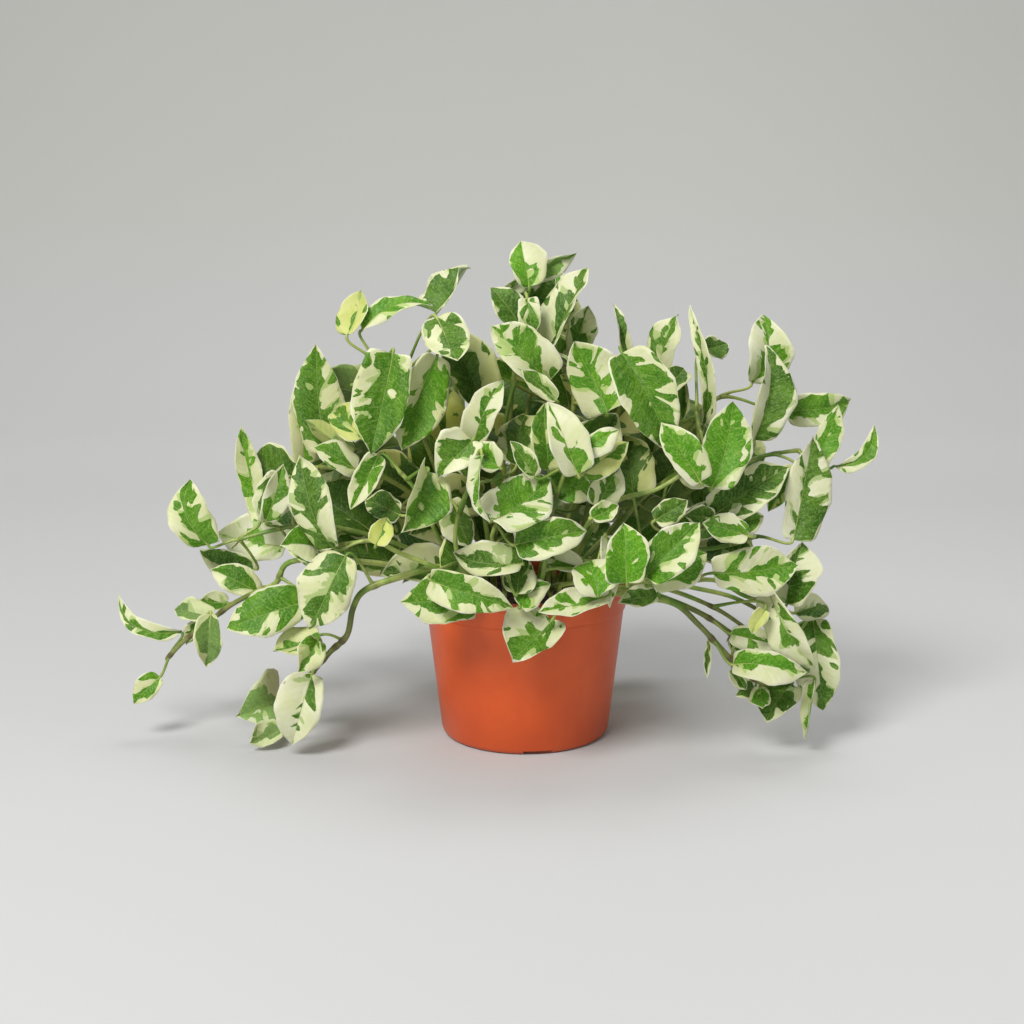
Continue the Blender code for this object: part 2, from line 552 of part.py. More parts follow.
def settle(leaf, shift_mm, turn, lean_share):
    """Put a drawn leaf at its depth, with its length from its breadth."""
    bx, by, tx, ty = leaf["marks"]
    depth = leaf["depth"] + shift_mm
    base = seen(bx, by, depth)
    flat = (seen(tx, ty, depth) - base).length
    scale = (EYE - base).length / FOCAL_PX
    width = leaf["width_px"] * scale
    length = max(flat, LENGTH_TO_WIDTH * width)
    lean = math.sqrt(max(length * length - flat * flat, 0.0)) * lean_share
    lean = max(lean, 0.18 * flat)
    toward = -1.0 if ty > by - 6 else 1.0
    moved = dict(leaf)
    moved["base"] = base
    moved["tip"] = seen(tx, ty, depth + 1000.0 * toward * lean)
    moved["width"] = width / math.cos(min(leaf["fold"], 0.6))
    moved["bend"] = leaf["bend_px"] * scale
    moved["face"] = (EYE - base).normalized() + Vector((0, 0, 0.25))
    moved["roll"] = leaf["roll"] + math.radians(turn)
    return moved


def try_leaf(leaf, stem, skips, bows, placed):
    """The leaf with a stalk that runs clear, or None."""
    axes = leaf_axes(leaf)
    points, faces = blade_sheet(leaf, axes, 0.0, 0.0)
    if min(p.z for p in points) < 0.0016:
        return None
    name = leaf["stem"]
    blade = Obstacle((points, faces), name, "blade")
    if not is_clear(blade, placed, ()):
        return None
    for skip in skips:
        for bow in bows:
            leaf["joint"] = joint_on(stem, leaf["base"], skip)
            leaf["from"] = stem[leaf["joint"][0]].lerp(stem[leaf["joint"][0] + 1], leaf["joint"][1])
            leaf["bow"] = bow
            path = stalk_path(leaf, axes)
            stalk = Obstacle(tube(path, STALK_RADIUS + 0.0002, 4), name, "stalk")
            if min(p.z for p in path) > 0.003 and is_clear(stalk, placed, ((name, "stem"), (name, "stalk"))):
                placed.append(Obstacle(padded_blade(leaf, axes, 0.0006 + CLEARANCE), name, "blade"))
                placed.append(Obstacle(tube(path, STALK_RADIUS + CLEARANCE, 4), name, "stalk"))
                return leaf
    return None


DEPTH_SHIFTS = (0, 4, -4, 8, -8, 12, -12, 17, -17, 23, 30, 38, 47)


def place_drawn(placed, paths):
    """Every leaf that the picture shows, the nearest first."""
    rows = [(name, row) for name, _, _, leaves in STEMS for row in leaves]
    leaves = [drawn_leaf(name, number, row) for number, (name, row) in enumerate(rows)]
    settled = []
    for leaf in sorted(leaves, key=lambda item: item["depth"]):
        for shift, lean, turn in itertools.product(DEPTH_SHIFTS, (1.0, 0.6, 1.3), (0, 14, -14)):
            moved = settle(leaf, shift, turn, lean)
            moved = try_leaf(moved, paths[leaf["stem"]], (0, 1, 2, 3), (0.10, 0.35, -0.15), placed)
            if moved:
                settled.append(moved)
                break
        else:
            print("no clear place for the leaf at", leaf["marks"], leaf["stem"])
    return settled


# Gaps between the leaves as the picture shows them
def outline_in_picture(leaf):
    points, _ = blade_sheet(leaf, leaf_axes(leaf))
    return [in_picture(points[k]) for k in rim_of(len(points))]


def inside_cover(leaf):
    """True for a leaf whose outline stays inside what the picture covers."""
    outline = outline_in_picture(leaf)
    middles = [((a[0] + b[0]) / 2, (a[1] + b[1]) / 2) for a, b in zip(outline, outline[1:] + outline[:1])]
    return all(inside_outline(*place, COVER) for place in outline + middles)


def gap_places(leaves):
    """Even grid of places inside the plant's outline that no leaf covers."""
    places = []
    for x in range(222, 816, GRID_PX):
        for y in range(322, 660, GRID_PX):
            over_pot = y > 590 and 415 < x < 630
            if inside_outline(x, y, COVER) and not over_pot:
                places.append((x, y))
    for leaf in leaves:
        places = still_open(places, leaf)
    return places


def still_open(places, leaf):
    """Places that a leaf leaves open."""
    outline = outline_in_picture(leaf)
    left = min(x for x, _ in outline)
    right = max(x for x, _ in outline)
    return [p for p in places if not (left < p[0] < right and inside_outline(*p, outline))]


def nearest_stem(paths, base, draw):
    """Stem with a joint a stalk's length from a place."""
    names = []
    for name, path in paths.items():
        reach = min((place - base).length for place in path[2:])
        if 0.006 < reach < 0.042:
            names.append(name)
    return draw.choice(sorted(names)) if names else None


def fill_leaf(paths, gaps, draw):
    """One leaf over a gap, or None."""
    cx, cy = draw.choice(gaps)
    cx += draw.uniform(-8, 8)
    cy += draw.uniform(-8, 8)
    heading = math.atan2(cy - 600, cx - 525) + draw.uniform(-1.2, 1.2)
    width = draw.uniform(36, 58)
    reach = width * draw.uniform(0.50, 0.75)
    dx = reach * math.cos(heading)
    dy = reach * math.sin(heading)
    depth = draw.uniform(-50, 40)
    share = draw.uniform(0.45, 0.95)
    row = (
        cx - dx, cy - dy, cx + dx, cy + dy, width, draw.uniform(-30, 30), depth,
        share, share * draw.uniform(0.6, 1.2),
        draw.choice((0.4, 0.7, 0.9, 1.0)), draw.choice((0.2, 0.4, 0.6, 0.9)),
    )
    leaf = settle(drawn_leaf("", draw.randrange(100000), row), 0, 0, 1.0)
    if not inside_cover(leaf):
        return None
    leaf["stem"] = nearest_stem(paths, leaf["base"], draw)
    return leaf if leaf["stem"] else None


def best_placed(candidates, paths, placed, gaps):
    """The candidate that covers most of the gaps among those that fit, or None."""
    ranked = sorted(candidates, key=lambda leaf: len(still_open(gaps, leaf)))
    for leaf in ranked:
        if try_leaf(leaf, paths[leaf["stem"]], (0, 1, 2), (0.10, 0.30, -0.10), placed):
            return leaf
    return None


def place_fill(placed, paths, gaps):
    """Leaves set by rule into the gaps that the drawn ones leave, with a seeded draw."""
    draw = random.Random(77)
    settled = []
    for _ in range(FILL_COUNT):
        candidates = [fill_leaf(paths, gaps, draw) for _ in range(500)]
        leaf = best_placed([leaf for leaf in candidates if leaf], paths, placed, gaps)
        if leaf:
            settled.append(leaf)
            gaps = still_open(gaps, leaf)
    return settled, gaps


# Leaves that the picture hides
def place_hidden(placed, paths, gaps):
    """Leaves by rule along the stems at the back, inside what the picture covers."""
    settled = []
    for order, (name, _, _, count) in enumerate(BACK_STEMS):
        for k in range(count):
            draw = random.Random(5000 + 40 * order + k)
            candidates = [hidden_leaf(name, paths[name], k, count, draw) for _ in range(120)]
            leaf = best_placed([leaf for leaf in candidates if inside_cover(leaf)], paths, placed, gaps)
            if leaf:
                settled.append(leaf)
                gaps = still_open(gaps, leaf)
    return settled, gaps


def hidden_leaf(name, path, k, count, draw):
    """One leaf beside a back stem, facing up and outward."""
    place = path[2 + (len(path) - 3) * (k + 1) // count]
    outward = Vector((place.x, place.y + 0.02, 0.0)).normalized()
    side = (1 if k % 2 else -1) * draw.uniform(0.5, 1.5)
    away = Matrix.Rotation(side, 3, "Z") @ outward
    base = place + away * draw.uniform(0.012, 0.032) + Vector((0, 0, draw.uniform(0.0, 0.022)))
    droop = Vector((0, 0, draw.uniform(-1.1, 0.35)))
    width = draw.uniform(0.024, 0.034)
    along = (away + outward * 0.4 + droop).normalized()
    both = draw.uniform(0.60, 0.95)
    return {
        "stem": name, "hidden": True, "base": base, "tip": base + along * width * draw.uniform(1.4, 1.7),
        "width": width, "face": (outward + Vector((0, 0, 0.9))).normalized(), "roll": draw.uniform(-0.4, 0.4),
        "fold": draw.uniform(0.15, 0.55), "flare": draw.uniform(-0.2, 0.3), "arch": draw.uniform(0.05, 0.18),
        "belly": draw.uniform(0.64, 0.80), "blunt": draw.uniform(0.48, 0.60), "wave": draw.uniform(0.05, 0.13),
        "beats": draw.uniform(0.9, 1.6), "phase": draw.random(), "twist": draw.uniform(-0.4, 0.4),
        "bend": 0.0, "skew": 0.0, "green": (both, both * draw.uniform(0.6, 1.1)),
        "dark": draw.choice((1.1, 1.2, 1.3, 1.4)), "yellow": draw.uniform(0.2, 0.7),
        "seed": draw.random(), "bow": 0.1,
    }


def layout():
    """Stem lines and settled leaves, grouped by stem."""
    placed = [ring_obstacle(POT_HULL, "pot")]
    paths = stem_paths(placed)
    placed.append(ring_obstacle(((0.001, SOIL_TOP + 0.002), (0.057, SOIL_TOP + 0.002)), "soil"))
    leaves = place_drawn(placed, paths)
    gaps = gap_places(leaves)
    hidden, fewer = place_hidden(placed, paths, gaps)
    fill, fewest = place_fill(placed, paths, fewer)
    print(len(leaves), "drawn", len(fill), "fill", len(hidden), "hidden;", len(gaps), len(fewest), "gaps")
    leaves += fill + hidden
    plan = {}
    for name, path in paths.items():
        plan[name] = (path, [leaf for leaf in leaves if leaf["stem"] == name])
    return plan


# Materials
def plain_material(name, colour, roughness):
    """Principled material with one colour."""
    material = bpy.data.materials.new(name)
    material.use_nodes = True
    shader = material.node_tree.nodes["Principled BSDF"]
    shader.inputs["Base Color"].default_value = (*colour, 1.0)
    shader.inputs["Roughness"].default_value = roughness
    shader.inputs["Metallic"].default_value = 0.0
    material.diffuse_color = (*colour, 1.0)
    return material


# Mesh helpers
def mesh_object(name, mesh, collection, material=None):
    thing = bpy.data.objects.new(name, mesh)
    collection.objects.link(thing)
    if material:
        mesh.materials.clear()
        mesh.materials.append(material)
    return thing


def evaluated_mesh(thing, weld=True):
    """Mesh of an object with its modifiers, its ends welded if asked."""
    bpy.context.view_layer.update()
    mesh = bpy.data.meshes.new_from_object(thing.evaluated_get(bpy.context.evaluated_depsgraph_get()))
    work = bmesh.new()
    work.from_mesh(mesh)
    if weld:
        bmesh.ops.remove_doubles(work, verts=work.verts, dist=0.000005)
    bmesh.ops.recalc_face_normals(work, faces=work.faces)
    work.to_mesh(mesh)
    work.free()
    return mesh


def remove(thing):
    bpy.data.objects.remove(thing, do_unlink=True)


def curve_tube(name, path, radii, resolution, collection):
    """Round tube with closed ends along a path."""
    curve = bpy.data.curves.new(name, "CURVE")
    curve.dimensions = "3D"
    curve.bevel_depth = 1.0
    curve.bevel_resolution = resolution
    curve.use_fill_caps = True
    spline = curve.splines.new("POLY")
    spline.points.add(len(path) - 1)
    for point, place, radius in zip(spline.points, path, radii):
        point.co = (*place, 1.0)
        point.radius = radius
    drawn = bpy.data.objects.new(name, curve)
    collection.objects.link(drawn)
    mesh = evaluated_mesh(drawn)
    remove(drawn)
    return mesh_object(name, mesh, collection)


def leaf_sheet(leaf):
    """Blade and stalk as one open sheet of triangles, with the share of full thickness at each corner."""
    axes = leaf_axes(leaf)
    blade, triangles = blade_sheet(leaf, axes)
    route = stalk_path(leaf, axes)
    points = []
    for k, place in enumerate(route):
        along = (route[min(k + 1, 2)] - route[max(k - 1, 0)]).normalized()
        wide = (axes[2] - along * axes[2].dot(along)).normalized() * STALK_RADIUS * (0.6 if k == 0 else 1.0)
        points += [place - wide, place + wide]
    shares = [0.65, 0.65, 1.0, 1.0, 0.8, 0.8] + [BLADE_THICKNESS / STALK_THICKNESS] * (len(blade) - 1)
    faces = [(0, 1, 3), (0, 3, 2), (2, 3, 5), (2, 5, 4), (4, 7, 6), (4, 5, 7), (5, 8, 7)]
    faces += [(i + 5, j + 5, k + 5) for i, j, k in triangles if i]
    return points + blade[1:], faces, shares


def solid_leaf(name, leaf, collection):
    """Leaf with its stalk, given its thickness."""
    points, faces, shares = leaf_sheet(leaf)
    mesh = bpy.data.meshes.new(name)
    mesh.from_pydata(points, [], faces)
    sheet = mesh_object(name, mesh, collection)
    group = sheet.vertex_groups.new(name="thickness")
    for corner, share in enumerate(shares):
        group.add([corner], share, "REPLACE")
    thick = sheet.modifiers.new("thickness", "SOLIDIFY")
    thick.thickness = STALK_THICKNESS
    thick.offset = 0.0
    thick.vertex_group = group.name
    solid = evaluated_mesh(sheet)
    remove(sheet)
    return mesh_object(name, solid, collection)


def boolean(thing, operation, collection, solver):
    """Boolean of an object with a collection, applied."""
    step = thing.modifiers.new(operation, "BOOLEAN")
    step.operation = operation
    step.operand_type = "COLLECTION"
    step.collection = collection
    step.solver = solver
    mesh = evaluated_mesh(thing, weld=False)
    thing.modifiers.clear()
    old = thing.data
    thing.data = mesh
    bpy.data.meshes.remove(old)


def empty_collection(collection):
    for thing in list(collection.objects):
        remove(thing)
    bpy.data.collections.remove(collection)


def new_collection(name):
    collection = bpy.data.collections.new(name)
    bpy.context.scene.collection.children.link(collection)
    return collection


def largest_body(thing):
    """Keep the biggest connected body of a mesh, drop loose scraps."""
    work = bmesh.new()
    work.from_mesh(thing.data)
    left = set(work.verts)
    bodies = []
    while left:
        body = {left.pop()}
        edge = list(body)
        while edge:
            for link in edge.pop().link_edges:
                for vert in link.verts:
                    if vert in left:
                        left.remove(vert)
                        body.add(vert)
                        edge.append(vert)
        bodies.append(body)
    bodies.sort(key=len)
    scraps = [vert for body in bodies[:-1] for vert in body]
    bmesh.ops.delete(work, geom=scraps, context="VERTS")
    work.to_mesh(thing.data)
    work.free()
    return len(bodies)


# Leafy stems
def stem_radii(path):
    last = len(path) - 1
    return [STEM_RADIUS * (1.0 - 0.28 * k / last) for k in range(len(path))]


def leafy_stem(name, path, leaves, material):
    """Stem, stalks and blades fused into one body."""
    stem = curve_tube(name, path, stem_radii(path), 0, bpy.context.scene.collection)
    parts = new_collection(name + "_parts")
    for number, leaf in enumerate(leaves):
        solid_leaf("leaf_%d" % number, leaf, parts)
    boolean(stem, "UNION", parts, "MANIFOLD")
    empty_collection(parts)
    bodies = largest_body(stem)
    if bodies > 1:
        print(name, "had", bodies, "bodies")
    stem.data.materials.clear()
    stem.data.materials.append(material)
    return stem


# Pot
def wall_radius(z):
    """Outer radius of the tapering wall."""
    share = z / (POT_HEIGHT - LIP_HEIGHT)
    return WALL_AT_FOOT + (WALL_UNDER_LIP - WALL_AT_FOOT) * share


def pot_profile():
    """Half section of the pot, from the floor's middle up the inside and down the outside."""
    lip_foot = POT_HEIGHT - LIP_HEIGHT
    inside = [
        (0.0, FLOOR_THICKNESS),
        (wall_radius(0) - WALL_THICKNESS - 0.0025, FLOOR_THICKNESS),
        (wall_radius(0.004) - WALL_THICKNESS, 0.0045),
        (wall_radius(lip_foot) - WALL_THICKNESS, lip_foot),
        (POT_TOP_RADIUS - 0.0023, lip_foot + 0.003),
        (POT_TOP_RADIUS - 0.0015, POT_HEIGHT),
    ]
    outside = [
        (POT_TOP_RADIUS - 0.0006, POT_HEIGHT),
        (POT_TOP_RADIUS, POT_HEIGHT - 0.0007),
        (POT_TOP_RADIUS - 0.0001, POT_HEIGHT - 0.0043),
        (POT_TOP_RADIUS - 0.0004, POT_HEIGHT - 0.0047),
        (POT_TOP_RADIUS - 0.0002, POT_HEIGHT - 0.0051),
        (wall_radius(lip_foot) + LIP_PROUD, lip_foot + 0.0006),
        (wall_radius(lip_foot) + LIP_PROUD - 0.0005, lip_foot),
        (wall_radius(lip_foot), lip_foot - 0.0003),
        (wall_radius(FOOT_ROUND), FOOT_ROUND),
        (wall_radius(0) - 0.0011, 0.0009),
        (wall_radius(0) - 0.0034, 0.0),
        (0.0, 0.0),
    ]
    return inside + outside


def turned(name, profile, steps, material):
    """Solid of revolution from a half section."""
    mesh = bpy.data.meshes.new(name)
    mesh.from_pydata([(r, 0.0, z) for r, z in profile], [(i, i + 1) for i in range(len(profile) - 1)], [])
    thing = mesh_object(name, mesh, bpy.context.scene.collection)
    spin = thing.modifiers.new("turn", "SCREW")
    spin.steps = steps
    spin.render_steps = steps
    spin.use_merge_vertices = True
    spin.merge_threshold = 0.00001
    spin.use_smooth_shade = True
    solid = evaluated_mesh(thing)
    thing.modifiers.clear()
    thing.data = solid
    solid.materials.append(material)
    return thing


def cylinder(name, x, y, heights, radius, sides, collection):
    low, high = heights
    mesh = bpy.data.meshes.new(name)
    work = bmesh.new()
    bmesh.ops.create_cone(work, cap_ends=True, segments=sides, radius1=radius, radius2=radius, depth=high - low)
    bmesh.ops.translate(work, verts=work.verts, vec=(x, y, (low + high) / 2))
    work.to_mesh(mesh)
    work.free()
    cutter = mesh_object(name, mesh, collection)
    cutter.hide_render = True
    cutter.display_type = "WIRE"
    return cutter


def box(name, centre, size, collection):
    mesh = bpy.data.meshes.new(name)
    work = bmesh.new()
    bmesh.ops.create_cube(work, size=1.0)
    bmesh.ops.scale(work, verts=work.verts, vec=size)
    bmesh.ops.translate(work, verts=work.verts, vec=centre)
    work.to_mesh(mesh)
    work.free()
    cutter = mesh_object(name, mesh, collection)
    cutter.hide_render = True
    cutter.display_type = "WIRE"
    return cutter


def shade_rounded(thing):
    """Smooth shading that keeps the crisp edges."""
    for face in thing.data.polygons:
        face.use_smooth = True
    thing.data.set_sharp_from_angle(angle=math.radians(40))


def make_pot():
    material = plain_material("terracotta_plastic", (0.52, 0.125, 0.045), 0.42)
    pot = turned("pot", pot_profile(), POT_SIDES, material)
    cutters = new_collection("pot_cutters")
    for k in range(DRAIN_HOLES):
        turn = 2 * math.pi * (k + 0.5) / DRAIN_HOLES
        x = DRAIN_RING * math.cos(turn)
        y = DRAIN_RING * math.sin(turn)
        heights = (-FLOOR_THICKNESS, 3 * FLOOR_THICKNESS)
        cylinder("drain_%d" % k, x, y, heights, DRAIN_RADIUS, DRAIN_SIDES, cutters)
    box("notch", (NOTCH_CENTRE, -WALL_AT_FOOT, 0.0), (NOTCH_WIDTH, NOTCH_DEPTH, 2 * NOTCH_HEIGHT), cutters)
    boolean(pot, "DIFFERENCE", cutters, "EXACT")
    empty_collection(cutters)
    shade_rounded(pot)
    return pot


# Soil
def soil_profile():
    floor = FLOOR_THICKNESS + FIT_GAP
    lip_foot = POT_HEIGHT - LIP_HEIGHT
    return [
        (0.0, SOIL_TOP),
        (POT_TOP_RADIUS - 0.0060, SOIL_TOP - 0.0008),
        (POT_TOP_RADIUS - 0.0023 - FIT_GAP, SOIL_TOP - 0.0020),
        (POT_TOP_RADIUS - 0.0023 - FIT_GAP, lip_foot + 0.0033),
        (wall_radius(lip_foot) - WALL_THICKNESS - FIT_GAP, lip_foot),
        (wall_radius(0.0045) - WALL_THICKNESS - FIT_GAP, 0.0050),
        (wall_radius(0) - WALL_THICKNESS - 0.0032, floor),
        (0.0, floor),
    ]


def make_soil(paths):
    """Soil filling the pot, with a plain hole for each stem."""
    material = plain_material("soil", (0.035, 0.024, 0.018), 0.95)
    soil = turned("soil", soil_profile(), SOIL_SIDES, material)
    cutters = new_collection("soil_cutters")
    for number, path in enumerate(paths):
        x, y, z = path[0]
        heights = (z - 2 * FIT_GAP, SOIL_TOP + FOOT_ROUND)
        cylinder("hole_%d" % number, x, y, heights, STEM_RADIUS + HOLE_GAP, HOLE_SIDES, cutters)
    boolean(soil, "DIFFERENCE", cutters, "EXACT")
    empty_collection(cutters)
    shade_rounded(soil)
    return soil


def main():
    for thing in list(bpy.data.objects):
        bpy.data.objects.remove(thing, do_unlink=True)
    plan = layout()
    make_pot()
    make_soil([path for path, _ in plan.values()])
    foliage = plain_material("foliage", (0.42, 0.52, 0.22), 0.45)
    for name, (path, leaves) in plan.items():
        leafy_stem(name, path, leaves, foliage)


main()
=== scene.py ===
"""Looks of the potted pothos: finer leaves, stems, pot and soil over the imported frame, and a studio."""

import itertools
import json
import math
import random

import bmesh
import bpy
from mathutils import Matrix, Vector, noise
from mathutils.bvhtree import BVHTree

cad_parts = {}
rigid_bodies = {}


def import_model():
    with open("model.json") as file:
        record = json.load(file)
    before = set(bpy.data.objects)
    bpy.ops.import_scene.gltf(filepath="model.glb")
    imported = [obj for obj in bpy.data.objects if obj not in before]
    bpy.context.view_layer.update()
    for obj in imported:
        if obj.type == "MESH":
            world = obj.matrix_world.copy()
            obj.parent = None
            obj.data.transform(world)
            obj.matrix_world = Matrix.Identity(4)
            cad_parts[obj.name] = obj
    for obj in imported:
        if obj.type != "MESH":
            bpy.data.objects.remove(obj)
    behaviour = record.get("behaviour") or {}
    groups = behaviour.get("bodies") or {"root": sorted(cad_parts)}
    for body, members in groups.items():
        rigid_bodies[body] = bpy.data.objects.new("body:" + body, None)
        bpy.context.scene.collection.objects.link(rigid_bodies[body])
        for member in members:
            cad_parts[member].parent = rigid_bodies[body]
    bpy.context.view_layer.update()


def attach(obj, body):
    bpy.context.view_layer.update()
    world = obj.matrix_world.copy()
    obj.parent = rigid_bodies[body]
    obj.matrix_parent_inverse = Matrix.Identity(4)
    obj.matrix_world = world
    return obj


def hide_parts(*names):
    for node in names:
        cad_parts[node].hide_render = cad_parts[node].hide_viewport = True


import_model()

# Pot sizes in metres
POT_TOP_RADIUS = 0.0600
POT_HEIGHT = 0.0920
LIP_HEIGHT = 0.0150
LIP_PROUD = 0.0010
LIP_INSET = 0.0023
UNDER_LIP = POT_HEIGHT - LIP_HEIGHT
WALL_UNDER_LIP = 0.0586
WALL_AT_FOOT = 0.0496
WALL_THICKNESS = 0.0013
FLOOR_THICKNESS = 0.0020
DRAIN_HOLES = 8
DRAIN_RADIUS = 0.0035
DRAIN_RING = 0.0320
DRILL_LENGTH = 0.0120
NOTCH_SIZE = (0.0170, 0.0060, 0.0048)
NOTCH_CENTRE = (0.0075, -0.0490, 0.0)
FIT_GAP = 0.0003

# Soil top in metres: height, reach, roughness, grit and the fall at its edge
SOIL_TOP = 0.084
SOIL_REACH = 0.057
SOIL_ROUGHNESS = 0.0016
SOIL_GRIT = 0.0007
SOIL_FALL = 0.0016

# Soil dust shows inside this radius at the pot's foot, which grows with the height
DUST_RADIUS = 0.0483
DUST_SLOPE = 0.1125

# Fineness of the meshes
ROWS_ALONG = 20
HALF_ACROSS = 6
POT_SPOKES = 180
SOIL_RINGS = 64
SOIL_SPOKES = 180

# Relief of the blades in metres, and the spacing of their side veins in mm
LEAF_THICKNESS = 0.00055
PUCKER = 0.00016
RIPPLE = 0.0007
GROOVE = 0.0004
VEIN_SPACING = 3.9

# Middle and half sizes of the plant's crown in metres, and the tint of the painted shade inside it
PLANT_CENTRE = (0.0, 0.010, 0.170)
PLANT_REACH = (0.190, 0.085, 0.090)
INSIDE_SHADE_TINT = (0.44, 0.43, 0.14, 1.0)

# Leaves that turn their paler side to the front, by the pixel of their foot, with that colour's share
PALE_LEAVES = {(281, 706): 0.95, (280, 730): 0.80, (211, 614): 0.50, (213, 618): 0.55, (506, 292): 0.60}

# Stalks and joints: places along the midrib, and a joint's swelling and its reach in metres
MIDRIB_PLACES = (0.05, 0.12, 0.22, 0.36, 0.52, 0.68)
JOINT_SWELLING = 0.28
JOINT_REACH = 0.0022

# Aerial roots: share of the joints that have one, its radii in metres, and the starting number of its draws
ROOTED_JOINTS = 0.22
ROOT_RADII = (0.00065, 0.0006, 0.00055, 0.0005, 0.0004, 0.0003)
NODE_SEED = 9000

# Stems that are stouter than the rest
STOUT = {
    "stem_lower_left_trailing": 1.35, "stem_left_trailing": 1.15,
    "stem_lower_right_front": 1.2, "stem_lower_right": 1.2,
}

# Studio lights: name, place, target, size, power and colour
WARM = (1.0, 0.985, 0.95)
WHITE = (1.0, 1.0, 1.0)
LIGHTS = (
    ("key", (-0.72, -1.25, 1.6), (0.0, 0.0, 0.12), 0.8, 35.5, WARM),
    ("low", (-0.55, -1.4, 0.32), (0.0, 0.0, 0.06), 0.45, 2.6, WARM),
    ("fill", (1.9, -0.5, 1.0), (0.1, 0.0, 0.05), 1.4, 4.5, WHITE),
    ("top", (0.1, 0.5, 1.9), (0.0, 0.0, 0.1), 0.9, 11.0, WHITE),
)
AIR_COLOUR = (1.0, 0.985, 0.91, 1.0)
AIR_STRENGTH = 0.25

# Studio floor in metres: half width, front edge, start of the curve, its radius and the backdrop's top
FLOOR_HALF = 4.0
FLOOR_FRONT = -3.0
CURVE_START = 1.2
CURVE_RADIUS = 1.2
CURVE_STEPS = 12
BACKDROP_TOP = 4.0

# Camera frame in pixels and millimetres
IMAGE_PX = 1024.0
SENSOR_MM = 36.0

# Viewing frame of the reference picture, for reading places off it
EYE = Vector((0.0, -0.960, 0.3216))
PITCH = math.radians(11.12)
FOCAL_PX = 1663.0
CENTRE_PX = (525.2, 512.0)

# Leaf shape: length for its breadth, least lean for its length in the picture, and the steepest fold counted
LENGTH_TO_WIDTH = 1.42
LEAST_LEAN = 0.18
STEEPEST_FOLD = 0.6

# One turn in radians, rounded as in the solids
FULL_TURN = 6.283

# Stem and stalk sizes in metres
STEM_RADIUS = 0.0016
STALK_RADIUS = 0.0010
STALK_REACH = 0.016
ROOT_DEPTH = 0.014
LONGEST_STEP = 0.040

# Heights of a stem's foot and its first bend over the soil in metres
FOOT_RISE = 0.002
BEND_RISE = 0.012

# Room in metres: between parts, for half a blade's thickness, over the surface, and over the soil
CLEARANCE = 0.0010
HALF_BLADE = 0.0006
LOWEST_BLADE = 0.0016
LOWEST_STALK = 0.003
SOIL_ROOM = 0.002

# Nearest and furthest that a fill leaf may be from its stem in metres
NEAREST_STEM = 0.006
FURTHEST_STEM = 0.042

# Starting numbers of the random draws
STEM_SEED = 100
LEAF_SEED = 1000
HIDDEN_SEED = 5000
FILL_SEED = 77

# Tries for a stem's way, and how much further its places may move with each, in metres
STEM_TRIES = 300
STEM_SHIFT = 0.0004

# Ways to set a leaf that isn't clear: shift in depth in mm, lean, turn, joint and bow of its stalk
DEPTH_SHIFTS = (0, 4, -4, 8, -8, 12, -12, 17, -17, 23, 30, 38, 47)
LEANS = (1.0, 0.6, 1.3)
TURNS = (0, 14, -14)
JOINTS = (0, 1, 2, 3)
BOWS = (0.10, 0.35, -0.15)

# Joints and bows tried for a leaf that is set by rule
RULE_JOINTS = (0, 1, 2)
RULE_BOWS = (0.10, 0.30, -0.10)

# Leaves set by rule: tries for each, breadths of hidden ones in metres, and px and depths in mm of fill
HIDDEN_TRIES = 120
HIDDEN_WIDTHS = (0.024, 0.034)
FILL_COUNT = 33
FILL_TRIES = 500
FILL_WIDTHS = (36, 58)
FILL_DEPTHS = (-50, 40)

# Where fill leaves are sought in px: grid, columns and rows, the pot's part of them, and the plant's foot
GRID_PX = 8
GAP_COLUMNS = (222, 816)
GAP_ROWS = (322, 660)
POT_COLUMNS = (415, 630)
POT_TOP_PX = 590
FOOT_PX = (525, 600)

# Outer side of the pot, radius and height in metres, for keeping leaves clear
POT_HULL = (
    (0.0574, 0.0830), (0.0574, 0.0926), (0.0606, 0.0926),
    (0.0606, 0.0762), (0.0592, 0.0760), (0.0502, -0.001),
)

# Part of the picture that the visible leaves cover, for placing the hidden ones
COVER = (
    (236, 530), (254, 518), (250, 484), (266, 462), (292, 440), (296, 385), (318, 352), (330, 368),
    (339, 398), (348, 366), (356, 356), (392, 351), (404, 362), (436, 356), (426, 326), (446, 318),
    (486, 348), (500, 345), (500, 300), (520, 262), (545, 262), (584, 285), (588, 318), (612, 358),
    (640, 360), (660, 350), (684, 352), (689, 396), (700, 404), (734, 405), (755, 406), (760, 440),
    (778, 470), (782, 506), (757, 518), (752, 540), (790, 552), (795, 575), (740, 576), (690, 566),
    (660, 586), (616, 600), (606, 735), (446, 735), (436, 598), (404, 590), (372, 576), (350, 584),
    (332, 622), (306, 632), (298, 562), (246, 556), (212, 545),
)
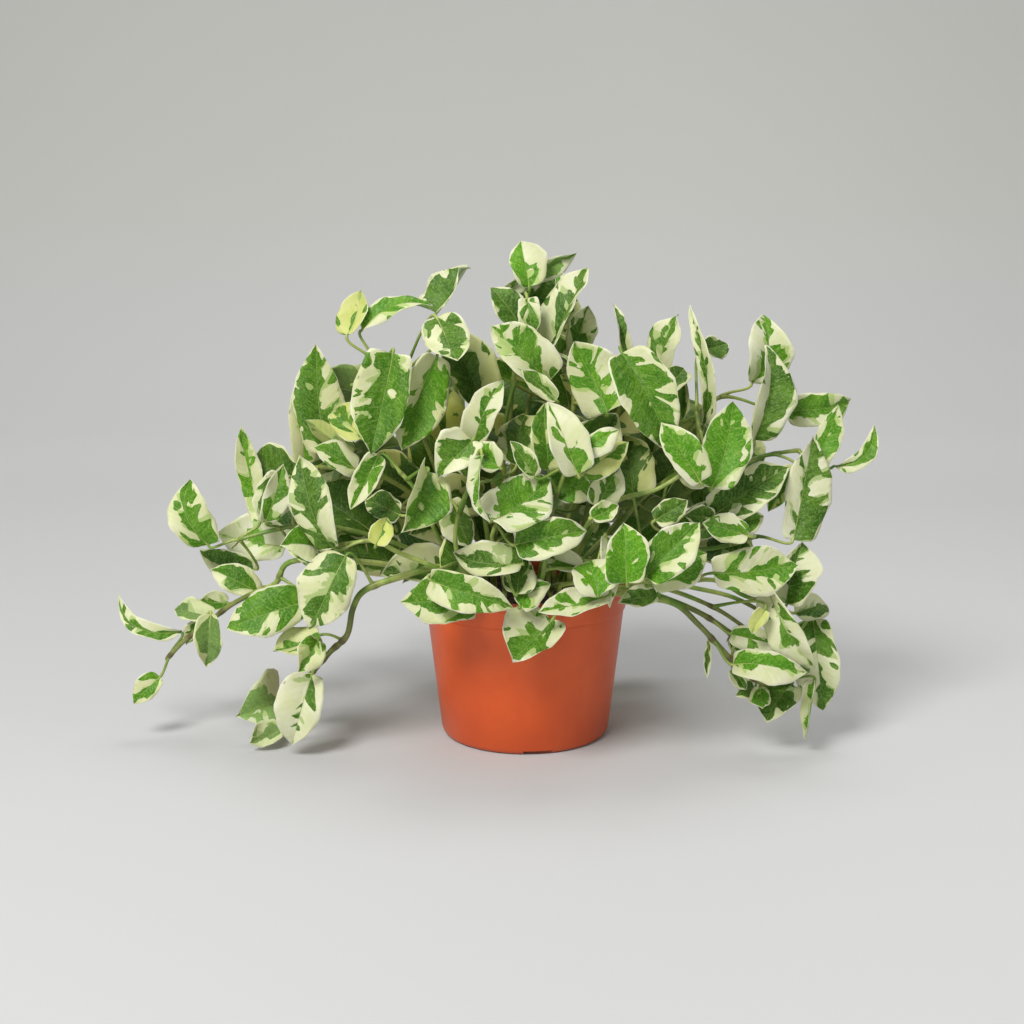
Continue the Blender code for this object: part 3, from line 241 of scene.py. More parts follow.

# Each stem: name, root (x, y in mm), places (px, py, depth in mm), and its leaves
# Each leaf: base px, tip px, width px, roll, depth mm, green left and right in hundredths, darkness and
# yellowness in tenths and, where it needs them, sideways bend px and arch; darkness is partly the
# leaf's own deeper green and partly painted shade for leaves in shadow
STEMS = (
    ("stem_upper_left_outer", (-24, 6), ((455, 460, -5), (425, 400, -5), (395, 368, -5), (374, 362, -5)), (
        (347, 335, 361, 290, 34, -35, -5, 35, 25, 3, 9),
        (362, 330, 433, 306, 28, -20, -5, 95, 35, 2, 2, -5),
        (437, 318, 458, 360, 46, 0, -25, 70, 45, 6, 3),
        (437, 356, 402, 451, 53, -25, -40, 85, 35, 1, 4),
    )),
    ("stem_upper_left_middle", (-30, -6), (
        (440, 480, -20), (415, 420, -25), (390, 385, -28), (350, 385, -30),
    ), (
        (393, 353, 371, 456, 57, 0, -50, 62, 55, 4, 3),
    )),
    ("stem_upper_left_inner", (-12, 12), ((468, 450, 0), (458, 400, 2), (448, 350, 5)), (
        (436, 313, 468, 265, 58, -35, 0, 90, 55, 9, 2, -11),
        (482, 402, 448, 326, 50, 0, -10, 85, 25, 8, 4),
        (445, 440, 447, 385, 40, 0, -10, 30, 30, 5, 10),
    )),
    ("stem_upper_left_low", (-34, 2), (
        (425, 505, -12), (385, 478, -20), (350, 470, -20), (318, 467, -12),
    ), (
        (329, 452, 316, 344, 50, -10, -27, 75, 50, 4, 3, -6),
        (350, 455, 305, 420, 34, 160, -30, 15, 15, 3, 10),
        (356, 470, 314, 447, 28, 0, -35, 60, 60, 3, 2),
        (299, 482, 250, 460, 44, 0, 2, 95, 90, 9, 2),
        (304, 464, 302, 368, 29, 0, -12, 25, 45, 2, 4),
    )),
    ("stem_left", (-40, 3), (
        (400, 545, -5), (350, 530, -8), (305, 525, -8), (270, 531, -8), (238, 540, -8),
    ), (
        (260, 521, 241, 425, 26, -20, -5, 35, 30, 2, 3, -4),
        (266, 521, 283, 464, 26, 15, -22, 50, 50, 3, 1),
        (288, 478, 262, 524, 42, 0, -14, 45, 45, 6, 2),
        (208, 545, 191, 479, 43, -10, -10, 45, 75, 3, 3, -12),
        (286, 546, 217, 534, 49, 0, 10, 20, 20, 1, 1),
        (255, 569, 199, 549, 28, 0, 5, 30, 80, 9, 3, -8),
    )),
    ("stem_left_trailing", (-42, -8), (
        (400, 566, -24), (340, 560, -26), (290, 562, -22), (276, 583, -20), (258, 591, -18),
        (231, 605, -16), (205, 625, -14), (184, 641, -13), (166, 660, -12),
    ), (
        (181, 632, 118, 592, 17, 0, -10, 55, 30, 4, 2, -20, 0.08),
        (213, 618, 174, 610, 26, 0, -18, 80, 60, 10, 3),
        (205, 622, 186, 645, 20, 20, -10, 60, 40, 4, 3),
        (211, 614, 206, 667, 27, 0, -22, 85, 75, 10, 5),
        (228, 603, 199, 600, 20, 0, 2, 50, 50, 4, 3),
        (258, 594, 211, 568, 30, 0, -10, 40, 50, 4, 3),
        (305, 602, 226, 629, 48, 0, -32, 35, 80, 3, 3),
        (160, 677, 134, 704, 23, 0, -15, 55, 50, 2, 3),
    )),
    ("stem_lower_left_trailing", (-38, -17), (
        (440, 567, -35), (400, 577, -42), (365, 590, -46), (353, 608, -46),
        (347, 635, -45), (330, 652, -42), (311, 674, -38),
    ), (
        (346, 556, 309, 630, 56, 0, -56, 50, 50, 5, 3),
        (320, 635, 273, 651, 34, 15, -45, 45, 45, 3, 6),
        (318, 640, 298, 672, 30, -20, -47, 35, 35, 3, 4),
        (312, 674, 292, 745, 46, 0, -44, 15, 15, 6, 1),
        (281, 706, 236, 716, 57, 0, -26, 60, 35, 3, 1),
        (280, 730, 250, 743, 26, 0, -34, 55, 50, 7, 3),
    )),
    ("stem_left_bundle_low", (-33, -22), (
        (435, 560, -38), (400, 550, -46), (372, 543, -48), (348, 547, -46),
    ), (
        (334, 548, 299, 455, 44, -20, -50, 60, 40, 9, 3),
        (322, 550, 280, 545, 44, 0, -33, 30, 80, 3, 3),
        (376, 545, 388, 517, 24, 0, -66, 15, 20, 3, 10),
    )),
    ("stem_left_bundle_high", (-26, -14), (
        (440, 540, -36), (424, 505, -50), (412, 485, -56), (398, 470, -55),
    ), (
        (379, 455, 350, 510, 26, 0, -55, 40, 50, 3, 3),
        (428, 472, 401, 533, 56, -35, -75, 85, 25, 3, 5),
        (400, 515, 365, 500, 30, 0, -44, 85, 80, 10, 3),
    )),
    ("stem_top", (0, 12), ((510, 430, 0), (515, 365, -5), (520, 325, -5), (524, 300, -3)), (
        (529, 287, 521, 241, 38, 0, 0, 80, 25, 1, 2, 0),
        (506, 292, 578, 252, 23, 35, -6, 60, 50, 3, 1, -6),
        (536, 298, 562, 266, 30, 0, 6, 85, 75, 2, 2),
        (527, 298, 533, 337, 24, 0, -25, 60, 60, 4, 2),
        (522, 326, 490, 287, 31, 0, -15, 80, 80, 9, 2),
    )),
    ("stem_top_left", (-6, 0), ((503, 450, -15), (510, 400, -22), (520, 370, -26), (524, 345, -22)), (
        (549, 382, 491, 326, 46, 10, -42, 35, 45, 3, 2),
        (508, 318, 554, 271, 40, 0, -20, 55, 85, 9, 2),
        (556, 400, 521, 369, 20, 0, -50, 55, 55, 5, 2),
    )),
    ("stem_top_right", (14, 2), ((556, 460, -20), (572, 415, -28), (574, 380, -25), (568, 360, -20)), (
        (554, 352, 588, 268, 57, -35, -25, 42, 30, 7, 2, 6),
        (575, 352, 588, 305, 30, 0, -8, 50, 40, 5, 3),
        (607, 412, 574, 341, 56, -15, -50, 55, 45, 1, 2),
        (600, 410, 560, 375, 26, 0, -35, 20, 20, 3, 9),
        (592, 402, 551, 352, 16, 60, -40, 90, 80, 9, 2),
    )),
    ("stem_centre_left", (-18, -20), ((482, 505, -44), (472, 475, -50), (468, 452, -52)), (
        (474, 443, 503, 380, 36, -15, -60, 30, 25, 4, 1),
        (472, 441, 438, 478, 42, 0, -67, 30, 60, 5, 2),
        (463, 447, 476, 480, 32, 0, -48, 90, 85, 10, 2),
        (500, 468, 470, 449, 30, 0, -72, 40, 55, 1, 3),
    )),
    ("stem_centre", (8, -20), ((552, 512, -48), (560, 487, -55), (566, 467, -58)), (
        (535, 477, 510, 441, 20, 0, -65, 60, 50, 5, 3),
        (548, 470, 545, 403, 34, 10, -60, 75, 25, 4, 6),
        (578, 474, 547, 402, 40, 0, -72, 45, 45, 3, 2),
        (583, 474, 629, 442, 32, 0, -76, 25, 15, 3, 8),
        (580, 452, 619, 430, 26, 0, -84, 45, 40, 1, 2),
    )),
    ("stem_upper_right_inner", (28, 6), ((600, 460, -8), (622, 405, -12), (642, 382, -12)), (
        (622, 353, 673, 453, 62, -10, -55, 65, 80, 4, 3),
        (627, 356, 613, 303, 13, 30, -10, 95, 90, 9, 3, -4),
        (659, 372, 678, 314, 38, -15, -8, 45, 40, 4, 2, -1),
        (668, 392, 684, 368, 25, 0, -20, 90, 85, 9, 2),
    )),
    ("stem_upper_right_middle", (33, -6), (
        (640, 500, -25), (680, 470, -38), (698, 440, -34), (696, 410, -20),
    ), (
        (703, 425, 690, 305, 18, -20, -20, 45, 35, 5, 2, 17),
        (703, 349, 727, 343, 27, 0, 5, 90, 85, 10, 2),
        (700, 482, 661, 422, 36, 0, -70, 60, 75, 1, 2),
        (712, 488, 733, 401, 49, 0, -60, 85, 75, 1, 2, 4),
    )),
    ("stem_upper_right_outer", (36, 10), ((655, 480, 5), (690, 430, 0), (704, 408, 0), (722, 396, -2)), (
        (752, 383, 763, 314, 45, 15, 0, 25, 60, 3, 1, 9),
        (786, 411, 851, 399, 34, 0, -10, 60, 55, 3, 2, 4),
    )),
    ("stem_right_high", (40, 0), ((660, 512, -8), (720, 475, -12), (760, 457, -14), (800, 450, -14)), (
        (754, 440, 766, 345, 41, 30, -22, 20, 55, 9, 1, 3),
        (814, 470, 838, 404, 27, 0, -25, 40, 35, 1, 2, 0),
        (834, 466, 874, 423, 18, 0, -10, 60, 60, 3, 2, 17),
        (795, 467, 768, 512, 22, 0, -20, 50, 45, 1, 8),
    )),
    ("stem_right", (42, -8), ((655, 552, -25), (715, 548, -28), (757, 536, -30)), (
        (793, 540, 813, 436, 47, 20, -35, 20, 60, 9, 1, 2),
        (728, 529, 764, 516, 27, 0, -40, 60, 50, 3, 2),
        (748, 536, 702, 523, 30, 0, -52, 45, 40, 3, 2),
    )),
    ("stem_right_front", (35, -19), ((650, 562, -38), (690, 540, -42), (708, 526, -42)), (
        (712, 516, 790, 467, 46, 0, -45, 75, 80, 8, 2),
        (655, 520, 688, 500, 26, 0, -58, 70, 60, 7, 5),
        (714, 518, 684, 515, 20, 0, -50, 85, 80, 9, 2),
    )),
    ("stem_right_low", (42, -16), ((660, 584, -42), (713, 580, -42), (745, 596, -38), (778, 606, -35)), (
        (713, 573, 799, 565, 52, 0, -56, 40, 40, 3, 2),
        (787, 604, 802, 541, 42, 20, -35, 40, 35, 9, 1, -3),
        (795, 613, 827, 605, 29, 0, -25, 25, 75, 9, 2),
        (768, 588, 815, 668, 36, 30, -52, 25, 20, 4, 2),
    )),
    ("stem_lower_right_outer", (50, -6), (
        (640, 577, -20), (690, 587, -28), (735, 598, -30), (775, 620, -30), (800, 634, -28),
    ), (
        (813, 619, 823, 711, 46, 0, -30, 50, 50, 5, 2),
    )),
    ("stem_lower_right", (34, -28), (
        (640, 591, -50), (670, 600, -50), (700, 613, -46), (725, 629, -43), (736, 640, -41),
    ), (
        (731, 634, 786, 645, 26, 0, -46, 55, 30, 3, 2),
        (731, 637, 747, 658, 18, 0, -36, 85, 75, 2, 3),
        (733, 668, 746, 690, 16, 0, -43, 60, 60, 6, 3),
    )),
    ("stem_lower_right_front", (30, -35), (
        (640, 597, -58), (675, 604, -56), (698, 624, -51), (718, 645, -47),
        (737, 665, -45), (762, 683, -42), (790, 680, -40),
    ), (
        (733, 665, 808, 672, 34, 0, -52, 70, 25, 1, 2),
        (709, 640, 707, 679, 8, 0, -50, 100, 100, 10, 2),
        (808, 670, 776, 673, 18, 0, -36, 85, 80, 9, 2),
        (760, 688, 763, 708, 22, 0, -42, 75, 65, 1, 3),
        (754, 688, 735, 696, 20, 0, -30, 85, 80, 9, 3),
        (792, 684, 766, 722, 44, 0, -34, 40, 80, 9, 2),
        (815, 680, 805, 740, 13, 40, -38, 50, 40, 2, 4, -10),
    )),
    ("stem_front_left_high", (-12, -34), ((500, 560, -62), (492, 538, -68), (498, 522, -70)), (
        (492, 520, 551, 479, 64, 0, -90, 45, 45, 3, 1),
        (515, 545, 587, 531, 42, 0, -80, 85, 50, 4, 2),
        (522, 564, 453, 552, 36, 0, -80, 40, 60, 7, 3, -7),
        (517, 594, 521, 556, 34, 0, -76, 75, 50, 8, 3),
    )),
    ("stem_front_left", (-23, -31), (
        (478, 580, -54), (462, 570, -60), (456, 540, -58), (462, 500, -52), (476, 470, -54),
    ), (
        (482, 455, 489, 522, 18, 45, -70, 50, 30, 3, 1),
        (430, 580, 514, 609, 38, 0, -74, 50, 45, 3, 3),
        (474, 604, 400, 602, 53, 0, -64, 45, 55, 3, 3),
        (450, 500, 470, 548, 34, 0, -40, 85, 85, 10, 3),
    )),
    ("stem_front", (4, -38), ((542, 578, -66), (546, 545, -70), (548, 505, -68)), (
        (547, 478, 599, 495, 32, 0, -80, 80, 60, 1, 2),
        (582, 568, 532, 554, 22, 0, -60, 25, 20, 4, 1),
        (521, 607, 551, 584, 30, 0, -74, 60, 50, 1, 3, -10),
    )),
    ("stem_front_right", (15, -37), ((566, 584, -62), (588, 580, -72), (602, 566, -74)), (
        (598, 596, 590, 560, 46, 0, -86, 45, 45, 1, 2),
        (606, 536, 610, 608, 22, 0, -82, 20, 20, 3, 2),
        (608, 596, 538, 612, 30, 0, -77, 20, 45, 2, 2),
        (552, 620, 512, 660, 58, 0, -68, 60, 55, 4, 2),
    )),
    ("stem_front_right_outer", (25, -30), ((605, 584, -62), (635, 580, -66), (652, 582, -64)), (
        (627, 583, 623, 522, 44, 0, -80, 75, 85, 0, 3),
        (646, 577, 700, 522, 46, 0, -86, 75, 40, 3, 2),
        (650, 582, 707, 553, 47, 0, -70, 45, 40, 3, 3),
        (657, 596, 618, 603, 22, 0, -62, 80, 80, 9, 3),
    )),
    ("stem_centre_right", (20, -16), ((580, 540, -48), (590, 520, -56), (602, 508, -60)), (
        (598, 507, 619, 465, 34, 0, -72, 45, 40, 4, 2),
        (592, 518, 619, 505, 22, 0, -78, 60, 50, 3, 2),
    )),
    ("stem_centre_right_high", (24, -8), (
        (598, 520, -42), (621, 499, -50), (655, 490, -55), (682, 474, -56),
    ), (
        (706, 482, 678, 476, 20, 0, -65, 10, 10, 3, 3),
    )),
    ("stem_right_fan", (49, -15), ((655, 586, -34), (690, 597, -36), (722, 612, -37), (752, 633, -37)), (
        (765, 610, 752, 634, 16, 0, -44, 20, 20, 3, 9),
    )),
)

# Stems at the back, which the picture hides: name, root, places (x, y, z in mm), number of leaves
BACK_STEMS = (
    ("stem_back_left", (-12, 22), ((-30, 45, 140), (-50, 70, 175), (-70, 85, 182)), 3),
    ("stem_back", (2, 26), ((0, 52, 150), (-6, 80, 190), (-6, 100, 205)), 4),
    ("stem_back_right", (18, 23), ((35, 50, 145), (58, 74, 178), (80, 86, 180)), 3),
    ("stem_back_left_low", (-30, 18), ((-58, 40, 125), (-92, 56, 138), (-118, 66, 128)), 3),
    ("stem_back_right_low", (32, 17), ((64, 40, 125), (98, 52, 138), (126, 58, 122)), 3),
    ("stem_back_trailing_left", (-12, 38), ((-17, 60, 108), (-22, 78, 84), (-26, 84, 48)), 3),
    ("stem_back_trailing_right", (12, 38), ((20, 61, 110), (26, 80, 86), (26, 86, 50)), 3),
    ("stem_inner", (-2, -8), ((-6, -6, 130), (-2, 4, 175), (2, 10, 205)), 3),
    ("stem_inner_left", (-20, 26), ((-34, 24, 130), (-52, 22, 170), (-66, 18, 195)), 4),
    ("stem_inner_right", (24, 28), ((40, 24, 130), (62, 22, 168), (78, 16, 190)), 4),
)


# Places and outlines
def seen(px, py, depth_mm):
    """Point at a depth in mm on the line of sight through a place in the picture."""
    right = (px - CENTRE_PX[0]) / FOCAL_PX
    down = (py - CENTRE_PX[1]) / FOCAL_PX
    level = math.cos(PITCH)
    drop = math.sin(PITCH)
    ray = Vector((right, level - down * drop, -drop - down * level))
    return EYE + ray * ((depth_mm / 1000.0 - EYE.y) / ray.y)


def in_picture(point):
    """Place in the picture where a point shows."""
    away = point - EYE
    forward = away.y * math.cos(PITCH) - away.z * math.sin(PITCH)
    up = away.y * math.sin(PITCH) + away.z * math.cos(PITCH)
    return CENTRE_PX[0] + FOCAL_PX * away.x / forward, CENTRE_PX[1] - FOCAL_PX * up / forward


def inside_outline(x, y, outline):
    """True for a place inside a closed outline."""
    inside = False
    for (x1, y1), (x2, y2) in zip(outline, outline[1:] + outline[:1]):
        if (y1 > y) != (y2 > y) and x < (x2 - x1) * (y - y1) / (y2 - y1) + x1:
            inside = not inside
    return inside


def rounded(points, i, t):
    """Place a share t along the rounded line from point i to the next."""
    a = points[max(i - 1, 0)]
    b = points[i]
    c = points[i + 1]
    d = points[min(i + 2, len(points) - 1)]
    curve = (2 * a - 5 * b + 4 * c - d) * t ** 2
    return 0.5 * (2 * b + (c - a) * t + curve + (3 * b - a - 3 * c + d) * t ** 3)


def smooth_path(points, longest):
    """Points on a rounded line through a few given ones, with one more wherever two are far apart."""
    path = []
    for i in range(len(points) - 1):
        path.append(points[i])
        if (points[i + 1] - points[i]).length > longest:
            path.append(rounded(points, i, 0.5))
    path.append(points[-1])
    return path


# Leaf shape
def half_width(leaf, t):
    """Half the blade's breadth at t from stalk to tip, as a share of its widest half."""
    return max(math.sin(math.pi * t ** leaf["belly"]), 0.0) ** (leaf["blunt"] + 0.42 * t ** 4)


def leaf_axes(leaf):
    """Length, and the directions along, across and out of a blade."""
    along = leaf["tip"] - leaf["base"]
    length = along.length
    along = along.normalized()
    out = leaf["face"] - along * leaf["face"].dot(along)
    out = Matrix.Rotation(leaf["roll"], 3, along) @ out.normalized()
    return length, along, along.cross(out), out


def blade_point(leaf, axes, t, v, lift=0.0, grow=0.0):
    """Point of a blade: t runs from stalk to tip, v from the left edge at -1 to the right edge at 1."""
    length, along, across, out = axes
    half = leaf["width"] / 2
    reach = half_width(leaf, t) * v * half * (1 + math.copysign(leaf["skew"], v))
    rise = abs(reach) * math.sin(leaf["fold"]) - leaf["flare"] * reach * reach / half
    rise += leaf["arch"] * length * 4 * t * (1 - t)
    beat = leaf["beats"] * t + leaf["phase"] + 0.22 * v
    rise += leaf["wave"] * half * v * v * math.sin(FULL_TURN * beat)
    slide = t - 0.10 * math.sin(math.pi * min(t / 0.3, 1.0)) * v * v
    sideways = reach * math.cos(leaf["fold"]) + leaf["bend"] * 4 * t * (1 - t)
    turn = leaf["twist"] * (t - 0.4)
    sideways, rise = (
        sideways * math.cos(turn) - rise * math.sin(turn),
        rise * math.cos(turn) + sideways * math.sin(turn),
    )
    if grow:
        sideways += math.copysign(grow, v) if v else 0.0
        slide += (grow if t > 0.9 else -grow if t < 0.1 else 0.0) / length
    return leaf["base"] + along * (slide * length) + across * sideways + out * (rise + lift)


def stalk_path(leaf, axes, steps=2):
    """Line of a leaf's stalk, from inside the stem to the foot of the blade."""
    start = leaf["from"]
    end = leaf["base"]
    reach = (end - start).length
    early = start.lerp(end, 0.35) + Vector((0, 0, leaf["bow"] * reach))
    late = end - axes[1] * (0.28 * reach)
    path = []
    for k in range(steps + 1):
        t = k / steps
        rest = 1 - t
        spot = start * rest ** 3 + early * (3 * rest * rest * t)
        path.append(spot + late * (3 * rest * t * t) + end * t ** 3)
    return path


# Keeping everything clear of everything else
def rows_of(leaf):
    """Places along a blade where its plain sheet has corners."""
    if leaf["width"] > 0.020 and not leaf.get("hidden"):
        return (0.13, 0.45, 0.82)
    return (0.24, 0.74) if leaf["width"] > 0.0105 else (0.42,)


def blade_sheet(leaf, axes, lift=0.0, grow=0.0):
    """Corners and triangles of a blade as a plain sheet."""
    stations = rows_of(leaf)
    points = [blade_point(leaf, axes, 0.0, 0.0, lift, grow)]
    for t in stations:
        points += [blade_point(leaf, axes, t, v, lift, grow) for v in (-1, 0, 1)]
    points.append(blade_point(leaf, axes, 1.0, 0.0, lift, grow))
    faces = [(0, 2, 1), (0, 3, 2)]
    for row in range(len(stations) - 1):
        a = 1 + 3 * row
        for b in (a, a + 1):
            faces += [(b, b + 1, b + 4), (b, b + 4, b + 3)]
    last = len(points) - 1
    faces += [(last - 3, last - 2, last), (last - 2, last - 1, last)]
    return points, faces


def rim_of(count):
    """Corners round the edge of a blade's plain sheet."""
    rows = (count - 2) // 3
    return [0] + [1 + 3 * r for r in range(rows)] + [count - 1] + [3 + 3 * r for r in reversed(range(rows))]


def padded_blade(leaf, axes, pad):
    """Closed body round a blade, thicker and wider than it."""
    top, faces = blade_sheet(leaf, axes, pad, pad)
    bottom, _ = blade_sheet(leaf, axes, -pad, pad)
    n = len(top)
    rim = rim_of(n)
    sides = []
    for a, b in zip(rim, rim[1:] + rim[:1]):
        sides += [(a, b, b + n), (a, b + n, a + n)]
    return top + bottom, faces + [(a + n, b + n, c + n) for a, b, c in faces] + sides


def tube_rings(path, radii, sides):
    """Rings of corners of a round tube along a path."""
    turns = [2 * math.pi * k / sides for k in range(sides)]
    rings = []
    first = None
    for i, centre in enumerate(path):
        along = (path[min(i + 1, len(path) - 1)] - path[max(i - 1, 0)]).normalized()
        first = (first - along * first.dot(along) if i else along.orthogonal()).normalized()
        second = along.cross(first)
        rings.append([centre + (first * math.cos(t) + second * math.sin(t)) * radii[i] for t in turns])
    return rings


def tube(path, radius, sides=5):
    """Corners and triangles of a plain tube along a path."""
    points = [spot for ring in tube_rings(path, [radius] * len(path), sides) for spot in ring]
    faces = []
    for i in range(len(path) - 1):
        for k in range(sides):
            a = i * sides + k
            b = i * sides + (k + 1) % sides
            faces += [(a, b, b + sides), (a, b + sides, a + sides)]
    return points, faces


class Obstacle:
    """A body that later ones must stay clear of."""

    def __init__(self, shape, owner, kind):
        points, faces = shape
        self.owner = owner
        self.kind = kind
        self.tree = BVHTree.FromPolygons(points, faces)
        self.low = [min(p[i] for p in points) for i in range(3)]
        self.high = [max(p[i] for p in points) for i in range(3)]

    def meets(self, other):
        for i in range(3):
            if self.low[i] > other.high[i] or other.low[i] > self.high[i]:
                return False
        return bool(self.tree.overlap(other.tree))


def ring_obstacle(profile, name, sides=40):
    """A turned body or disc, from its half section."""
    points = []
    faces = []
    rows = len(profile)
    for k in range(sides):
        turn = 2 * math.pi * k / sides
        points += [Vector((r * math.cos(turn), r * math.sin(turn), z)) for r, z in profile]
    for k in range(sides):
        for row in range(rows - 1):
            a = k * rows + row
            b = (k + 1) % sides * rows + row
            faces += [(a, a + 1, b + 1), (a, b + 1, b)]
    return Obstacle((points, faces), name, name)


def is_clear(body, placed, ignore):
    return not any(body.meets(other) for other in placed if (other.owner, other.kind) not in ignore)


# Stems
def stem_paths(placed):
    """Rounded line of every stem, shifted a little where two would touch."""
    paths = {}
    listed = [(name, root, [seen(*place) for place in places]) for name, root, places, _ in STEMS]
    listed += [(name, root, [Vector(p) / 1000.0 for p in places]) for name, root, places, _ in BACK_STEMS]
    for number, (name, root, places) in enumerate(listed):
        draw = random.Random(STEM_SEED + number)
        foot = Vector((root[0] / 1000.0, root[1] / 1000.0, SOIL_TOP))
        for attempt in range(STEM_TRIES):
            size = STEM_SHIFT * attempt
            moves = [Vector([draw.uniform(-size, size) for _ in range(3)]) for _ in places]
            moved = [p + move * (0.25 if k else 0.5) for k, (p, move) in enumerate(zip(places, moves))]
            path = [foot - Vector((0, 0, ROOT_DEPTH)), foot + Vector((0, 0, FOOT_RISE))]
            path += smooth_path([foot + Vector((0, 0, BEND_RISE))] + moved, LONGEST_STEP)
            body = Obstacle(tube(path[1:], STEM_RADIUS + CLEARANCE), name, "stem")
            if is_clear(body, placed, ()):
                break
        else:
            print("no clear way for", name)
        placed.append(body)
        paths[name] = path
    return paths


def straight_place(path, k, share):
    return path[k].lerp(path[k + 1], share)


def joint_on(path, point, skip):
    """Segment and share of a stem for a stalk to grow from: the nearest one, or one a few steps off it."""
    places = [(k, share) for k in range(2, len(path) - 1) for share in (0.3, 0.7)] + [(len(path) - 2, 0.92)]
    places.sort(key=lambda place: abs((straight_place(path, *place) - point).length - STALK_REACH))
    return places[min(skip, len(places) - 1)]


# Leaves that the picture shows
def in_shares(row):
    """A leaf's row with its greens, darkness and yellowness as shares of one."""
    return row[:7] + (row[7] / 100, row[8] / 100, row[9] / 10, row[10] / 10) + row[11:]


def drawn_leaf(name, number, row):
    """A leaf read off the picture."""
    bx, by, tx, ty, width, roll, depth, left, right, dark, yellow = row[:11]
    bent = row[11:]
    draw = random.Random(LEAF_SEED + number)
    arch = draw.choice((1, 1, 1, -0.6)) * draw.uniform(0.07, 0.20)
    return {
        "stem": name, "marks": (bx, by, tx, ty), "width_px": width, "depth": depth,
        "roll": math.radians(roll), "fold": math.radians(draw.uniform(12, 34) + 0.40 * min(abs(roll), 50)),
        "flare": draw.uniform(-0.20, 0.34), "arch": bent[1] if len(bent) > 1 else arch,
        "wave": draw.uniform(0.06, 0.16),
        "beats": draw.uniform(0.9, 1.7), "phase": draw.random(), "twist": draw.uniform(-0.55, 0.55),
        "bend_px": bent[0] if bent else 0, "skew": draw.uniform(-0.20, 0.20),
        "green": (left, right), "dark": dark, "yellow": yellow, "seed": draw.random(), "bow": 0.10,
        "belly": draw.uniform(0.76, 0.94), "blunt": draw.uniform(0.48, 0.60),
    }


def settle(leaf, shift_mm, turn, lean_share):
    """Put a drawn leaf at its depth, with its length from its breadth."""
    bx, by, tx, ty = leaf["marks"]
    depth = leaf["depth"] + shift_mm
    base = seen(bx, by, depth)
    flat = (seen(tx, ty, depth) - base).length
    scale = (EYE - base).length / FOCAL_PX
    width = leaf["width_px"] * scale
    length = max(flat, LENGTH_TO_WIDTH * width)
    lean = math.sqrt(max(length * length - flat * flat, 0.0)) * lean_share
    lean = max(lean, LEAST_LEAN * flat)
    toward = -1.0 if ty > by - 6 else 1.0
    moved = dict(leaf)
    moved["base"] = base
    moved["tip"] = seen(tx, ty, depth + 1000.0 * toward * lean)
    moved["width"] = width / math.cos(min(leaf["fold"], STEEPEST_FOLD))
    moved["bend"] = leaf["bend_px"] * scale
    moved["face"] = (EYE - base).normalized() + Vector((0, 0, 0.25))
    moved["roll"] = leaf["roll"] + math.radians(turn)
    return moved


def try_leaf(leaf, stem, skips, bows, placed):
    """The leaf with a stalk that runs clear, or None."""
    axes = leaf_axes(leaf)
    points, faces = blade_sheet(leaf, axes)
    if min(p.z for p in points) < LOWEST_BLADE:
        return None
    name = leaf["stem"]
    if not is_clear(Obstacle((points, faces), name, "blade"), placed, ()):
        return None
    own = ((name, "stem"), (name, "stalk"))
    for skip in skips:
        for bow in bows:
            leaf["joint"] = joint_on(stem, leaf["base"], skip)
            leaf["from"] = straight_place(stem, *leaf["joint"])
            leaf["bow"] = bow
            path = stalk_path(leaf, axes)
            stalk = Obstacle(tube(path, STALK_RADIUS + 0.0002, 4), name, "stalk")
            if min(p.z for p in path) > LOWEST_STALK and is_clear(stalk, placed, own):
                placed.append(Obstacle(padded_blade(leaf, axes, HALF_BLADE + CLEARANCE), name, "blade"))
                placed.append(Obstacle(tube(path, STALK_RADIUS + CLEARANCE, 4), name, "stalk"))
                return leaf
    return None


def place_drawn(placed, paths):
    """Every leaf that the picture shows, the nearest first."""
    rows = [(name, row) for name, _, _, leaves in STEMS for row in leaves]
    leaves = [drawn_leaf(name, number, in_shares(row)) for number, (name, row) in enumerate(rows)]
    settled = []
    for leaf in sorted(leaves, key=lambda item: item["depth"]):
        for shift, lean, turn in itertools.product(DEPTH_SHIFTS, LEANS, TURNS):
            moved = settle(leaf, shift, turn, lean)
            moved = try_leaf(moved, paths[leaf["stem"]], JOINTS, BOWS, placed)
            if moved:
                settled.append(moved)
                break
        else:
            print("no clear place for the leaf at", leaf["marks"], leaf["stem"])
    return settled


# Gaps between the leaves as the picture shows them
def outline_in_picture(leaf):
    points, _ = blade_sheet(leaf, leaf_axes(leaf))
    return [in_picture(points[k]) for k in rim_of(len(points))]


def inside_cover(leaf):
    """True for a leaf whose outline stays inside what the picture covers."""
    outline = outline_in_picture(leaf)
    middles = [((a[0] + b[0]) / 2, (a[1] + b[1]) / 2) for a, b in zip(outline, outline[1:] + outline[:1])]
    return all(inside_outline(*place, COVER) for place in outline + middles)


def gap_places(leaves):
    """Even grid of places inside the plant's outline that no leaf covers."""
    places = []
    for x in range(*GAP_COLUMNS, GRID_PX):
        for y in range(*GAP_ROWS, GRID_PX):
            over_pot = y > POT_TOP_PX and POT_COLUMNS[0] < x < POT_COLUMNS[1]
            if inside_outline(x, y, COVER) and not over_pot:
                places.append((x, y))
    for leaf in leaves:
        places = still_open(places, leaf)
    return places


def still_open(places, leaf):
    """Places that a leaf leaves open."""
    outline = outline_in_picture(leaf)
    left = min(x for x, _ in outline)
    right = max(x for x, _ in outline)
    return [p for p in places if not (left < p[0] < right and inside_outline(*p, outline))]


def nearest_stem(paths, base, draw):
    """Stem with a joint a stalk's length from a place."""
    names = []
    for name, path in paths.items():
        reach = min((place - base).length for place in path[2:])
        if NEAREST_STEM < reach < FURTHEST_STEM:
            names.append(name)
    return draw.choice(sorted(names)) if names else None


